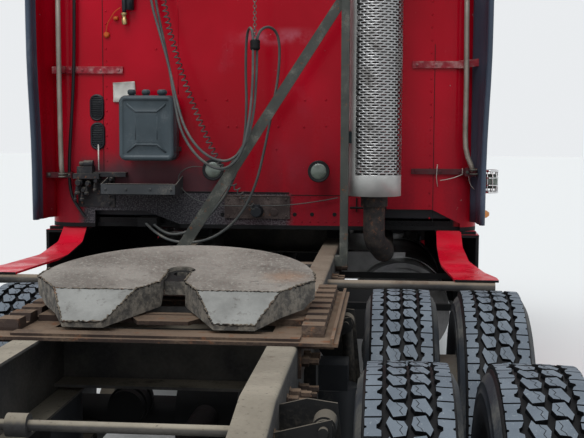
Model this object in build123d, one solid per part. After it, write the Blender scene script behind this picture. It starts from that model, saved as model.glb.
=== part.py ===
from build123d import *
import math
import os

os.makedirs("parts", exist_ok=True)

# Driving dimensions, mm. X is the vehicle's left, Y its rear, Z up; the truck faces -Y.
LENGTH = 8400
FRONT = -LENGTH / 2
REAR = LENGTH / 2
CAB_BACK = FRONT + 4700
AXLE_F = FRONT + 1250
AXLE_1 = 2000
AXLE_2 = AXLE_1 + 1320
TYRE_R = 520
TYRE_HALF = 139.5
RIM_R = 286
RIM_HALF = 118
RIM_WALL = 24
WELL = 12
DUAL_IN = 748.5
DUAL_OUT = 1091.5
DUAL_MID = (DUAL_IN + DUAL_OUT) / 2
FRONT_TYRE_X = 1020
KINGPIN_X = 830
ARM_BACK = 180
RUN_FIT = 0.05

RAIL_OUT = 432
RAIL_WEB = 8
RAIL_FLANGE = 89
RAIL_CORNER = 14
RAIL_TOP = 1040
RAIL_BOTTOM = 774
RAIL_FRONT = FRONT + 190
RAIL_TAPER = AXLE_2 + 370
RAIL_TAIL_TOP = 950
WEB_IN = RAIL_OUT - RAIL_WEB

CAB_FRONT = FRONT + 1650
CAB_FLOOR = 1130
CAB_WALL = 50
SILL_Z = 1180
ROOF_Z = 2650
PILLAR_Y = FRONT + 1919
BACK_WALL_Y = CAB_BACK - 140

HINGE_X = 1082
HINGE_Y = FRONT + 1930
HINGE_Z = (1320, 1800)

HOOD_AXIS_Y = FRONT + 150
HOOD_AXIS_Z = 852
HOOD_FACE = FRONT + 110
HOOD_BACK = CAB_FRONT - 10
HOOD_BOTTOM = 862
HOOD_FLARE = 11.1
SKIN = 15
ARCH_R = 630
FENDER_IN = 500
FENDER_X = 1190
FENDER_FRONT = FRONT + 170
FENDER_BACK = FRONT + 1895

PLATE_PIVOT_Y = 2650
PLATE_PIVOT_Z = 1143
PLATE_TILT = 7
PLATE_R = 458
BASE_Y = (2130, 3110)
BASE_X = 550
BASE_TOP = 1050
BED_TOP = 1070
RACK_IN = 437
RACK_OUT = 505
RACK_TOP = 1085
TOOTH = 76
TOOTH_PITCH = 110
KINGPIN_R = 25.4


# Makers of plain shapes
def block(x0, x1, y0, y1, z0, z1):
    return Pos((x0 + x1) / 2, (y0 + y1) / 2, (z0 + z1) / 2) * Box(x1 - x0, y1 - y0, z1 - z0)


def polygon(points, radii=None):
    if radii is None:
        return make_face(Polyline(*points, close=True))
    return make_face(FilletPolyline(*points, radius=radii, close=True))


def inset_points(points, d):
    # Moves every side of a closed outline inward by d; the outline runs anticlockwise
    moved = []
    count = len(points)
    for i in range(count):
        (ax, ay), (bx, by), (cx, cy) = points[i - 1], points[i], points[(i + 1) % count]
        ux, uy = bx - ax, by - ay
        vx, vy = cx - bx, cy - by
        ul = math.hypot(ux, uy)
        vl = math.hypot(vx, vy)
        nx, ny = -uy / ul, ux / ul
        mx, my = -vy / vl, vx / vl
        k = d / (1 + nx * mx + ny * my)
        moved.append((bx + (nx + mx) * k, by + (ny + my) * k))
    return moved


def across(face, x0, x1):
    return extrude(Plane.YZ.offset(x0) * face, x1 - x0)


def along(face, y0, y1):
    return extrude(Plane.XZ.offset(-y1) * face, y1 - y0)


def upward(face, z0, z1):
    return extrude(Plane.XY.offset(z0) * face, z1 - z0)


def rod(p, q, r):
    a = Vector(*p)
    b = Vector(*q)
    return extrude(Plane(origin=a, z_dir=b - a) * Circle(r), (b - a).length)


def pipe(p, q, r_out, r_in):
    return rod(p, q, r_out) - rod(p, q, r_in)


def mirrored(shape):
    return mirror(shape, Plane.YZ)


def write(name, *shapes):
    solids = []
    for shape in shapes:
        solids.extend(shape.solids())
    whole = solids[0] if len(solids) == 1 else Compound(children=solids)
    export_step(whole, "parts/" + name + ".step")


def spin(points, y, z):
    # Points are (x, radius) about an axis along X at (y, z)
    face = Plane.XY * make_face(Polyline(*points, close=True))
    return Pos(0, y, z) * revolve(face, Axis.X)


# Frame rails, C sections opening inward, with a tail that tapers down
def make_rail():
    web_points = [
        (RAIL_FRONT, RAIL_BOTTOM),
        (REAR, RAIL_BOTTOM),
        (REAR, RAIL_TAIL_TOP),
        (RAIL_TAPER, RAIL_TOP),
        (RAIL_FRONT, RAIL_TOP),
    ]
    web = across(polygon(web_points), WEB_IN, RAIL_OUT)
    top_points = [
        (RAIL_FRONT, RAIL_TOP - RAIL_WEB),
        (RAIL_TAPER, RAIL_TOP - RAIL_WEB),
        (REAR, RAIL_TAIL_TOP - RAIL_WEB),
        (REAR, RAIL_TAIL_TOP),
        (RAIL_TAPER, RAIL_TOP),
        (RAIL_FRONT, RAIL_TOP),
    ]
    top = across(polygon(top_points), RAIL_OUT - RAIL_FLANGE, RAIL_OUT)
    low = block(RAIL_OUT - RAIL_FLANGE, RAIL_OUT, RAIL_FRONT, REAR, RAIL_BOTTOM, RAIL_BOTTOM + RAIL_WEB)
    rail = web + top + low
    outside = rail.edges().filter_by_position(Axis.X, RAIL_OUT - 0.1, RAIL_OUT + 0.1)
    corners = [e for e in outside if abs(e.tangent_at(0.5).Y) > 0.9]
    return fillet(corners, RAIL_CORNER)


rail = make_rail()
write("frame_rails", rail, mirrored(rail))

# Crossmembers between the webs: y centre, half length along y, bottom, top; tubes that carry the panels
TUBE_Y = AXLE_1 - 500
TUBE_Z = 985
TUBE_R = 21
CROSS = [
    (RAIL_FRONT + 45, 40, 800, 900),
    (-1000, 45, 830, 1000),
    (900, 45, 830, 1000),
    (AXLE_1 - 520, 45, 800, 1010),
    (AXLE_1 + 660, 60, 800, 1010),
    (AXLE_2 + 480, 45, 800, 940),
]
members = []
for y, half, z0, z1 in CROSS:
    beam = block(-WEB_IN, WEB_IN, y - half, y + half, z0, z1)
    hollow = block(-WEB_IN, WEB_IN, y - half + 10, y + half + 1, z0 + 10, z1 - 10)
    members.append(beam - hollow)
tail = block(-WEB_IN, WEB_IN, REAR - 100, REAR - 40, 790, 935)
tail -= block(-WEB_IN, WEB_IN, REAR - 90, REAR - 39, 800, 925)
members.append(tail)
for side in (1, -1):
    x = side * 300
    members.append(rod((x, REAR - 90, 862), (x, REAR, 862), 55))
rod_y = AXLE_2 + 290
cross_rod = rod((-WEB_IN, rod_y, 930), (WEB_IN, rod_y, 930), 14)
cross_rod += rod((200, rod_y, 930), (255, rod_y, 930), 30)
members.append(cross_rod)
for side in (1, -1):
    members.append(rod((side * RAIL_OUT, TUBE_Y, TUBE_Z), (side * 1165, TUBE_Y, TUBE_Z), TUBE_R))
write("crossmembers", *members)

# Bumper: a swept plan with returned edges and lamp openings, on brackets under the rails
def bumper_plan(depth):
    outer = [(0, FRONT), (700, FRONT), (1000, FRONT + 120), (1190, FRONT + 420)]
    inner = [
        (1190 - depth, FRONT + 420),
        (1000 - depth * 0.8, FRONT + 120 + depth * 0.9),
        (700, FRONT + depth),
    ]
    return polygon(outer + inner + [(0, FRONT + depth)])


half_bumper = upward(bumper_plan(10), 420, 795)
half_bumper += upward(bumper_plan(50), 785, 795)
half_bumper += upward(bumper_plan(50), 420, 430)
half_bumper -= block(330, 620, FRONT - 10, FRONT + 11, 520, 640)
bumper = half_bumper + mirrored(half_bumper)
for side in (1, -1):
    xs = sorted((side * 350, side * 430))
    bumper += block(xs[0], xs[1], FRONT + 10, FRONT + 330, 700, RAIL_BOTTOM)
write("bumper", bumper)

# Radiator, engine with gearbox as plain blocks, propeller shafts
radiator = block(-330, 330, FRONT + 330, FRONT + 410, 700, 1380)
radiator += block(-WEB_IN, WEB_IN, FRONT + 350, FRONT + 390, 880, 920)
engine = block(-290, 290, FRONT + 450, CAB_FRONT - 60, 600, 1350)
engine += block(-WEB_IN, WEB_IN, FRONT + 700, FRONT + 780, 850, 900)
engine += block(-220, 220, CAB_FRONT - 60, FRONT + 2500, 640, 1080)
shaft_1 = rod((0, FRONT + 2500, 800), (0, AXLE_1 - 330, 560), 50)
shaft_2 = rod((0, AXLE_1 + 190, 560), (0, AXLE_2 - 330, 560), 50)

# Axles: the dropped front beam with its kingpins, two drive axles
half_beam = [
    (0, 440),
    (520, 440),
    (640, 485),
    (KINGPIN_X, 485),
    (KINGPIN_X, 575),
    (700, 575),
    (560, 540),
    (0, 540),
]
beam = along(polygon(half_beam), AXLE_F - 45, AXLE_F + 45)
front_axle = beam + mirrored(beam)
for side in (1, -1):
    x = side * KINGPIN_X
    front_axle += rod((x, AXLE_F, 430), (x, AXLE_F, 610), 45)
    front_axle += rod((x, AXLE_F, 380), (x, AXLE_F, 660), 25)
axles = [front_axle]
CHAMBER_R = 78
CHAMBER_Z = 600
for y in (AXLE_1, AXLE_2):
    axle = rod((-660, y, TYRE_R), (660, y, TYRE_R), 70)
    axle += rod((-1060, y, TYRE_R), (1060, y, TYRE_R), 45)
    axle += rod((-120, y, TYRE_R), (120, y, TYRE_R), 190)
    nose = Pos(0, y - 250, 560) * Rot(90, 0, 0) * Cone(120, 60, 160)
    axle += nose
    axle += rod((0, y - 200, 560), (0, y - 100, 560), 118)
    for x in (-300, 300):
        # Brake chambers: a service and a spring can joined by their clamp bands
        axle += rod((x, y + 60, CHAMBER_Z), (x, y + 250, CHAMBER_Z), CHAMBER_R - 8)
        for band in (105, 190):
            axle += rod((x, y + band, CHAMBER_Z), (x, y + band + 14, CHAMBER_Z), CHAMBER_R)
        axle += block(x - 30, x + 30, y - 10, y + 75, TYRE_R, CHAMBER_Z)
    axles.append(axle)
write("axles", *axles)
shaft_1 -= axles[1]
shaft_2 -= axles[1]
shaft_2 -= axles[2]
write("powertrain", radiator, engine, shaft_1, shaft_2)

# Front leaf springs, rear trailing arms with their hangers
springs = []
leaf = [
    (AXLE_F - 650, 690),
    (AXLE_F - 330, 610),
    (AXLE_F - 60, 570),
    (AXLE_F + 60, 570),
    (AXLE_F + 330, 610),
    (AXLE_F + 650, 690),
    (AXLE_F + 650, RAIL_BOTTOM),
    (AXLE_F + 590, RAIL_BOTTOM),
    (AXLE_F + 580, 722),
    (AXLE_F, 620),
    (AXLE_F - 580, 722),
    (AXLE_F - 590, RAIL_BOTTOM),
    (AXLE_F - 650, RAIL_BOTTOM),
]
leaf_spring = across(polygon(leaf), 350, 425)
leaf_spring += block(350, 425, AXLE_F - 45, AXLE_F + 45, 540, 575)
springs += [leaf_spring, mirrored(leaf_spring)]


def trailing_arm(y):
    outline = [
        (y - 570, 620),
        (y - 110, 395),
        (y + 560, 395),
        (y + 560, 450),
        (y - 80, 450),
        (y - 480, 700),
        (y - 570, 700),
    ]
    arm = across(polygon(outline), 470, 530)
    arm += block(460, 540, y - 80, y + 80, 430, 500)
    arm -= rod((400, y, TYRE_R), (600, y, TYRE_R), 70)
    arm += block(RAIL_OUT, 470, y - 580, y - 470, 610, 930)
    return arm


for y in (AXLE_1, AXLE_2):
    arm = trailing_arm(y)
    springs += [arm, mirrored(arm)]
write("springs_and_arms", *springs)

# Air springs behind each drive axle, with their frame brackets
bags = []
for y in (AXLE_1, AXLE_2):
    bag = rod((500, y + 470, 450), (500, y + 470, 770), 95)
    bag += block(RAIL_OUT, 560, y + 402, y + 550, 770, 860)
    bags += [bag, mirrored(bag)]
write("air_springs", *bags)

# Fifth wheel base: angles on the rails, a plate with a window, and a toothed rack on each side
base = block(-BASE_X, BASE_X, BASE_Y[0], BASE_Y[1], RAIL_TOP, BASE_TOP)
window_x = RAIL_OUT - RAIL_FLANGE
base -= block(-window_x, window_x, BASE_Y[0] + 60, BASE_Y[1] - 160, RAIL_TOP, BASE_TOP)
base += block(-RACK_IN, RACK_IN, BASE_Y[1] - 80, BASE_Y[1] - 20, BASE_TOP, BASE_TOP + 8)
half_base = block(RACK_IN, RACK_OUT, BASE_Y[0] + 20, BASE_Y[1] - 90, BASE_TOP, BASE_TOP + 10)
rack_length = BASE_Y[1] - BASE_Y[0] - 110
for i in range(int((rack_length + TOOTH_PITCH - TOOTH) / TOOTH_PITCH)):
    y = BASE_Y[1] - 90 - i * TOOTH_PITCH
    tooth = [(y - TOOTH, BASE_TOP + 10), (y, BASE_TOP + 10), (y - 6, RACK_TOP), (y - TOOTH + 6, RACK_TOP)]
    half_base += across(polygon(tooth), RACK_IN, RACK_OUT)
half_base += block(BASE_X - 22, BASE_X - 12, BASE_Y[0], BASE_Y[1], BASE_TOP, BASE_TOP + 14)
half_base += block(RAIL_OUT, BASE_X - 12, BASE_Y[0] + 20, BASE_Y[1] - 20, RAIL_TOP - 10, RAIL_TOP)
half_base += block(RAIL_OUT, RAIL_OUT + 10, BASE_Y[0] + 20, BASE_Y[1] - 20, 940, RAIL_TOP)
base += half_base + mirrored(half_base)
write("fifth_wheel_base", base)

# Shock absorbers hang from pins behind stamped arms on the rails
EYE_X = 548
EYE_Z = 982


def shock(y):
    unit = rod((EYE_X, y + 355, EYE_Z), (EYE_X, y + 425, EYE_Z), 29)
    unit += rod((EYE_X, y + 300, EYE_Z), (EYE_X, y + 462, EYE_Z), 12)
    unit += rod((EYE_X, y + 425, EYE_Z), (EYE_X, y + 437, EYE_Z), 24)
    unit += rod((EYE_X, y + 390, EYE_Z), (570, y + 352, 700), 20)
    unit += rod((568, y + 356, 730), (576, y + 340, 440), 30)
    unit += rod((530, y + 340, 425), (600, y + 340, 425), 16)
    stamped = [
        (RAIL_OUT, 880),
        (562, 690),
        (598, 690),
        (598, 770),
        (574, 1012),
        (500, 1022),
        (RAIL_OUT, 1005),
    ]
    unit += along(polygon(stamped), y + 298, y + 306)
    strap = [(RAIL_OUT, 900), (EYE_X + 20, EYE_Z - 24), (EYE_X + 20, EYE_Z + 28), (RAIL_OUT, 975)]
    unit += along(polygon(strap), y + 437, y + 445)
    return unit - base


shocks = []
for y in (AXLE_1, AXLE_2):
    unit = shock(y)
    shocks += [unit, mirrored(unit)]
write("shock_absorbers", *shocks)


# Cab: one form cut from side, plan and front outlines, inset for walls and glass
def cab_form(inset):
    side = [
        (CAB_FRONT, CAB_FLOOR),
        (CAB_FRONT, 1900),
        (FRONT + 2250, 2650),
        (FRONT + 2500, 2900),
        (FRONT + 3000, 3420),
        (FRONT + 3500, 3760),
        (FRONT + 3900, 3850),
        (CAB_BACK, 3850),
        (CAB_BACK, CAB_FLOOR),
    ]
    plan = [
        (-950, CAB_FRONT),
        (950, CAB_FRONT),
        (1060, PILLAR_Y),
        (1150, FRONT + 3000),
        (1170, FRONT + 3700),
        (1170, CAB_BACK),
        (-1170, CAB_BACK),
        (-1170, FRONT + 3700),
        (-1150, FRONT + 3000),
        (-1060, PILLAR_Y),
    ]
    plan_radii = [60, 60, 300, 400, 400, 140, 140, 400, 400, 300]
    front = [
        (-1170, 1000),
        (1170, 1000),
        (1170, 2300),
        (1100, 3000),
        (950, 3850),
        (-950, 3850),
        (-1100, 3000),
        (-1170, 2300),
    ]
    front_radii = [0, 0, 600, 800, 240, 240, 800, 600]
    side.reverse()
    shape = across(polygon(inset_points(side, inset)), -1300, 1300)
    plan_radii = [r - inset if r > inset else 0 for r in plan_radii]
    shape &= upward(polygon(inset_points(plan, inset), plan_radii), 900, 4000)
    front_radii = [r - inset if r > inset else 0 for r in front_radii]
    shape &= along(polygon(inset_points(front, inset), front_radii), FRONT + 1500, CAB_BACK + 200)
    return shape


cab_outer = cab_form(0)
cab_inner = cab_form(CAB_WALL)
shell = cab_outer - cab_inner
print("cab shell volume", round(shell.volume / 1e6), "litres")

FAR = 2000
NOTCH_LEFT = [(431, 1120), (903, 1120), (903, 1222), (625, 1222), (431, 1151)]
NOTCH_RIGHT = [(-1079, 1120), (-680, 1120), (-680, 1245), (-930, 1245), (-1079, 1171)]
notches = along(polygon(NOTCH_LEFT), CAB_BACK - CAB_WALL, CAB_BACK + 10)
notches += along(polygon(NOTCH_RIGHT), CAB_BACK - CAB_WALL, CAB_BACK + 10)
cab_back = shell & block(-FAR, FAR, BACK_WALL_Y, FAR, SILL_Z, ROOF_Z)
low_back = shell & block(-FAR, FAR, BACK_WALL_Y, FAR, 1152, SILL_Z)
cab_back += low_back
cab_back -= notches
write("cab_back_wall", cab_back)

floor = shell & block(-FAR, FAR, -FAR * 3, FAR, 1100, SILL_Z)
floor -= block(-FAR, FAR, BACK_WALL_Y, FAR, 1152, SILL_Z + 1)
floor -= block(-FAR, FAR, -FAR * 3, PILLAR_Y, 1152, SILL_Z + 1)
floor -= notches
for side in (1, -1):
    for y in (FRONT + 2300, CAB_BACK - 500):
        xs = sorted((side * 345, side * 430))
        floor += block(xs[0], xs[1], y - 60, y + 60, RAIL_TOP, CAB_FLOOR + 5)
write("cab_floor", floor)

cab_roof = shell & block(-FAR, FAR, -FAR * 3, FAR, ROOF_Z, 4000)
write("cab_roof", cab_roof)

DOOR = [
    (FRONT + 1925, 1190),
    (FRONT + 1925, 2040),
    (FRONT + 2350, 2560),
    (FRONT + 2900, 2560),
    (FRONT + 2900, 1190),
]
DOOR_HOLE = [
    (FRONT + 1919, 1184),
    (FRONT + 1919, 2042),
    (FRONT + 2347, 2566),
    (FRONT + 2906, 2566),
    (FRONT + 2906, 1184),
]
# Openings are prisms; the glass is a thinner slice of the same form
WINDSCREEN = [(-820, 1960), (820, 1960), (760, 2590), (-760, 2590)]
screen_cut = along(polygon(WINDSCREEN, [60] * 4), FRONT + 1600, FRONT + 2400)
cab_front = shell & block(-FAR, FAR, -FAR * 3, PILLAR_Y, 1152, ROOF_Z)
nose_zone = across(
    polygon(
        [
            (PILLAR_Y - 1, 1880),
            (PILLAR_Y - 1, ROOF_Z),
            (FRONT + 2400, ROOF_Z),
            (FRONT + 2330, 2590),
            (PILLAR_Y + 30, 2060),
        ]
    ),
    -FAR,
    FAR,
)
cab_front += shell & nose_zone
cab_front -= across(polygon(DOOR_HOLE), -FAR, FAR)
cab_front -= screen_cut


# Door hinges: the cab's lug carries a pin, the door's lug turns on it
def hinge_lugs(z):
    fixed = rod((HINGE_X, HINGE_Y, z), (HINGE_X, HINGE_Y, z + 25), 11)
    fixed += block(HINGE_X - 32, HINGE_X, HINGE_Y - 45, HINGE_Y - 12, z, z + 25)
    fixed += block(HINGE_X - 9, HINGE_X + 9, HINGE_Y - 45, HINGE_Y, z, z + 25)
    fixed += rod((HINGE_X, HINGE_Y, z), (HINGE_X, HINGE_Y, z + 58), 7)
    turning = rod((HINGE_X, HINGE_Y, z + 30), (HINGE_X, HINGE_Y, z + 55), 11)
    turning += block(HINGE_X - 28, HINGE_X, HINGE_Y - 4, HINGE_Y + 11, z + 30, z + 55)
    turning -= rod((HINGE_X, HINGE_Y, z + 20), (HINGE_X, HINGE_Y, z + 65), 7 + RUN_FIT)
    return fixed, turning


door_lugs = []
for z in HINGE_Z:
    fixed, turning = hinge_lugs(z)
    cab_front += fixed
    cab_front += mirrored(fixed)
    door_lugs.append(turning)
write("cab_front", cab_front)

DOOR_WINDOW = [
    (FRONT + 2005, 1900),
    (FRONT + 2005, 2020),
    (FRONT + 2390, 2480),
    (FRONT + 2820, 2480),
    (FRONT + 2820, 1900),
]
BUNK_WINDOW = [
    (FRONT + 3150, 1950),
    (FRONT + 3150, 2350),
    (FRONT + 3550, 2350),
    (FRONT + 3550, 1950),
]
sides_all = shell & block(-FAR, FAR, PILLAR_Y, BACK_WALL_Y, SILL_Z, ROOF_Z)
sides_all -= nose_zone
sides_all -= across(polygon(DOOR_HOLE), -FAR, FAR)
sides_all -= across(polygon(BUNK_WINDOW, [50] * 4), -FAR, FAR)
write("cab_sides", sides_all)

glass_out = cab_form(18)
glass_in = cab_form(25)
glass = glass_out - glass_in
screen = glass & screen_cut & block(-FAR, FAR, -FAR * 3, FRONT + 2500, 1900, ROOF_Z)
bunk_glass = glass & across(polygon(BUNK_WINDOW, [50] * 4), -FAR, FAR)
write("fixed_windows", screen, bunk_glass)

for name, side in (("left", 1), ("right", -1)):
    zone = block(0, FAR, -FAR * 3, FAR, 1000, 3000)
    if side < 0:
        zone = block(-FAR, 0, -FAR * 3, FAR, 1000, 3000)
    door = shell & across(polygon(DOOR), -FAR, FAR) & zone
    door -= across(polygon(DOOR_WINDOW, [40] * 5), -FAR, FAR)
    for lug in door_lugs:
        door += lug if side > 0 else mirrored(lug)
    write("door_" + name, door)
    door_glass = glass & across(polygon(DOOR_WINDOW, [40] * 5), -FAR, FAR) & zone
    write("door_glass_" + name, door_glass)

    # Mirror: a tall head on two arms that stand on the door
    head = block(1310, 1450, FRONT + 1990, FRONT + 2060, 1820, 2420)
    arms = rod((1052, FRONT + 1995, 1860), (1330, FRONT + 2030, 1860), 14)
    arms += rod((1010, FRONT + 2200, 2300), (1330, FRONT + 2035, 2300), 14)
    mirror_unit = (head + arms) - cab_outer
    if side < 0:
        mirror_unit = mirrored(mirror_unit)
    write("mirror_" + name, mirror_unit)


# Hood: a tapered centre open below and behind, with a fender on each side
def hood_centre(inset):
    lower = 0 if inset == 0 else 50
    half = 600 - inset
    top = 1480 - inset
    low = HOOD_BOTTOM - lower
    corner = 180 - inset
    # The section plane looks along +Y with its second axis downward
    start = Plane(origin=(0, HOOD_FACE + inset, 0), x_dir=(1, 0, 0), z_dir=(0, 1, 0))
    section = [(-half, -low), (half, -low), (half, -top), (-half, -top)]
    face = make_face(FilletPolyline(*section, radius=[0, 0, corner, corner], close=True))
    length = HOOD_BACK - HOOD_FACE - inset + (1 if inset else 0)
    shape = extrude(start * face, length, taper=-HOOD_FLARE)
    nose = [
        (HOOD_FACE, low),
        (HOOD_BACK + 50, low),
        (HOOD_BACK + 50, 2000),
        (HOOD_FACE + 140, 2000),
        (HOOD_FACE + 140, 1520),
        (HOOD_FACE, 1340),
    ]
    shape &= across(polygon(inset_points(nose, inset)), -FAR, FAR)
    return shape & block(-FAR, FAR, -FAR * 3, FAR, low, FAR)


def hood_fender(inset):
    low = 640 if inset == 0 else 500
    top = 1262
    side = [
        (FENDER_FRONT, low - inset),
        (FENDER_BACK, low - inset),
        (FENDER_BACK, 1150),
        (FRONT + 1400, top),
        (FRONT + 800, top),
        (FRONT + 330, 1180),
        (FENDER_FRONT, 1040),
    ]
    shape = across(polygon(inset_points(side, inset)), FENDER_IN, FENDER_X)
    plan = [
        (FENDER_IN - inset, FENDER_FRONT),
        (1020, FENDER_FRONT),
        (FENDER_X, FRONT + 420),
        (FENDER_X, FENDER_BACK),
        (FENDER_IN - inset, FENDER_BACK),
    ]
    shape &= upward(polygon(inset_points(plan, inset)), 400, 1500)
    front = [(FENDER_IN - inset, 400), (FENDER_X, 400), (FENDER_X, top), (FENDER_IN - inset, top)]
    radii = [0, 0, 110 - inset, 0]
    return shape & along(polygon(inset_points(front, inset), radii), FRONT, FENDER_BACK)


centre = hood_centre(0)
hood = centre - hood_centre(SKIN)
hood -= block(-400, 400, HOOD_FACE - 10, HOOD_FACE + SKIN + 5, 900, 1320)
for side in (1, -1):
    # The wheel arch is cut through the side wall too, so the steered tyre clears it
    hood -= rod((side * FENDER_IN, AXLE_F, TYRE_R), (side * FAR, AXLE_F, TYRE_R), ARCH_R)
    xs = sorted((side * 447, side * 467))
    lug = block(xs[0], xs[1], HOOD_FACE + 2, FRONT + 175, 832, 910)
    lug -= block(xs[0] - 1, xs[1] + 1, FRONT + 100, FRONT + 126, 831, HOOD_BOTTOM)
    hood += lug
    hood -= rod((side * 440, HOOD_AXIS_Y, HOOD_AXIS_Z), (side * 475, HOOD_AXIS_Y, HOOD_AXIS_Z), 12 + RUN_FIT)
write("hood_shell", hood)

fender = hood_fender(0) - hood_fender(SKIN)
fender -= rod((0, AXLE_F, TYRE_R), (FAR, AXLE_F, TYRE_R), ARCH_R)
fender -= block(0, FAR, FRONT, AXLE_F, 500, 825)
fender -= block(0, 1072, HOOD_BACK, FRONT + 2000, 400, 2000)
fender -= block(690, 970, FENDER_FRONT - 10, FENDER_FRONT + SKIN + 1, 880, 1020)
fender -= centre
write("hood_fenders", fender, mirrored(fender))

grille = block(-400, 400, HOOD_FACE - 5, HOOD_FACE + SKIN + 5, 900, 1320)
for row in range(7):
    z = 925 + row * 55
    grille -= block(-375, -10, HOOD_FACE - 10, HOOD_FACE + 40, z, z + 38)
    grille -= block(10, 375, HOOD_FACE - 10, HOOD_FACE + 40, z, z + 38)
write("grille", grille)

lamps = []
for side in (1, -1):
    xs = sorted((side * 690, side * 970))
    lamps.append(block(xs[0], xs[1], FRONT + 175, FRONT + 230, 880, 1020))
write("headlamps", *lamps)

# Hinge plates on the rail ends carry the hood pins
hinges = []
for side in (1, -1):
    xs = sorted((side * RAIL_OUT, side * 442))
    plate = block(xs[0], xs[1], HOOD_AXIS_Y, HOOD_AXIS_Y + 150, 836, 960)
    plate += rod((xs[0], HOOD_AXIS_Y, HOOD_AXIS_Z), (xs[1], HOOD_AXIS_Y, HOOD_AXIS_Z), 16)
    plate += rod((side * 435, HOOD_AXIS_Y, HOOD_AXIS_Z), (side * 478, HOOD_AXIS_Y, HOOD_AXIS_Z), 12)
    hinges.append(plate)
write("hood_hinges", *hinges)

# Cab inside: dash with wheel, seats and bunk
dash = block(-940, 940, CAB_FRONT + CAB_WALL, FRONT + 1960, 1450, 1780)
dash &= cab_inner
column_top = Vector(450, FRONT + 2180, 1800)
dash += rod((450, FRONT + 1900, 1640), tuple(column_top), 28)
wheel_plane = Plane(origin=column_top, z_dir=(0, 280, 160))
dash += wheel_plane * (Cylinder(234, 26) - Cylinder(208, 30))
dash += wheel_plane * Cylinder(50, 40)
dash += wheel_plane * Box(430, 30, 12)
dash += wheel_plane * Pos(0, -105, 0) * Box(30, 210, 12)
write("dashboard", dash)

seat_solids = []
for x in (500, -500):
    seat = block(x - 230, x + 230, FRONT + 2350, FRONT + 2850, SILL_Z, 1450)
    seat += block(x - 260, x + 260, FRONT + 2330, FRONT + 2870, 1450, 1600)
    seat += block(x - 250, x + 250, FRONT + 2820, FRONT + 2960, 1560, 2300)
    seat_solids.append(seat)
bunk = block(-1080, 1080, FRONT + 3950, CAB_BACK - CAB_WALL, SILL_Z, 1500)
bunk += block(-1060, 1060, FRONT + 3930, CAB_BACK - CAB_WALL, 1500, 1640)
bunk &= cab_inner
seat_solids.append(bunk)
write("seats_and_bunk", *seat_solids)

# Side fairings with steps, and the flared quarter panels that run back over the wheels
SKIRT_Y = (FRONT + 1935, AXLE_1 - 620)
SKIRT_X = (960, 1180)
SKIRT_T = 15
skirt = block(SKIRT_X[0], SKIRT_X[1], SKIRT_Y[0], SKIRT_Y[1], 380, 1112)
skirt -= block(SKIRT_X[0] - 1, SKIRT_X[1] - SKIRT_T, SKIRT_Y[0] - 1, SKIRT_Y[1] + 1, 379, 1112 - SKIRT_T)
skirt -= block(SKIRT_X[0] - 1, SKIRT_X[1] + 1, CAB_BACK, SKIRT_Y[1] + 1, 880, 1113)
for z in (480, 800):
    skirt -= block(1100, 1200, FRONT + 2050, FRONT + 2850, z, z + 200)
    skirt += block(960, 1180, FRONT + 2040, FRONT + 2860, z - 20, z)
for y in (FRONT + 2035, FRONT + 2865):
    skirt += block(960, 1165, y - 5, y + 5, 460, 1100)
for y in (FRONT + 2015, FRONT + 4530, SKIRT_Y[1] - 40):
    skirt += block(RAIL_OUT, SKIRT_X[1] - SKIRT_T, y - 15, y + 15, 850, 880)

QUARTER_T = 10
quarter_side = [
    (CAB_BACK - 20, CAB_FLOOR),
    (CAB_BACK - 20, CAB_FLOOR - 12),
    (CAB_BACK + 60, 1042),
    (CAB_BACK + 330, TUBE_Z + TUBE_R),
    (TUBE_Y + 12, TUBE_Z + TUBE_R),
    (TUBE_Y + 12, TUBE_Z + TUBE_R + QUARTER_T),
    (CAB_BACK + 335, TUBE_Z + TUBE_R + QUARTER_T),
    (CAB_BACK + 70, 1055),
]
quarter_plan = [
    (955, CAB_BACK - 30),
    (1085, CAB_BACK - 30),
    (1105, CAB_BACK + 400),
    (1140, CAB_BACK + 760),
    (1180, CAB_BACK + 930),
    (1180, TUBE_Y + 20),
    (990, TUBE_Y + 20),
    (955, CAB_BACK + 500),
]
quarter = across(polygon(quarter_side, [0, 0, 60, 260, 0, 0, 250, 70]), 900, 1200)
quarter &= upward(polygon(quarter_plan, [0, 0, 300, 120, 0, 0, 0, 400]), 900, 1200)
quarter -= rod((900, TUBE_Y, TUBE_Z), (1200, TUBE_Y, TUBE_Z), TUBE_R)
skirt_top = block(960, 1165, CAB_BACK - 60, CAB_BACK - 20, 1112, CAB_FLOOR)
write("chassis_fairings", skirt, mirrored(skirt), quarter, mirrored(quarter), skirt_top, mirrored(skirt_top))

# Fuel tanks, each on saddles fixed to the rail
TANK_X = 775
TANK_Z = 660
TANK_R = 270
STRAP_T = 4
AIR_TANK_X = 700
AIR_TANK_Z = 620
AIR_TANK_R = 120
tank = rod((TANK_X, FRONT + 2900, TANK_Z), (TANK_X, FRONT + 4500, TANK_Z), TANK_R)
tank -= rod((TANK_X, FRONT + 2899, TANK_Z), (TANK_X, FRONT + 2912, TANK_Z), TANK_R - 25)
tank -= rod((TANK_X, FRONT + 4488, TANK_Z), (TANK_X, FRONT + 4501, TANK_Z), TANK_R - 25)
for y in (FRONT + 3150, FRONT + 4200):
    tank += block(RAIL_OUT, TANK_X + 25, y - 35, y + 35, TANK_Z + 140, 960)
    tank += rod((TANK_X, y - 30, TANK_Z), (TANK_X, y + 30, TANK_Z), TANK_R + STRAP_T)
for low, high, r in ((-40, 12, 58), (12, 36, 50)):
    # Filler neck and its cap
    foot = (TANK_X + 85, FRONT + 3020, TANK_Z + TANK_R + low)
    tank += rod(foot, (TANK_X + 85, FRONT + 3020, TANK_Z + TANK_R + high), r)
tank += rod((AIR_TANK_X, CAB_BACK, AIR_TANK_Z), (AIR_TANK_X, CAB_BACK + 750, AIR_TANK_Z), AIR_TANK_R)
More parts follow.
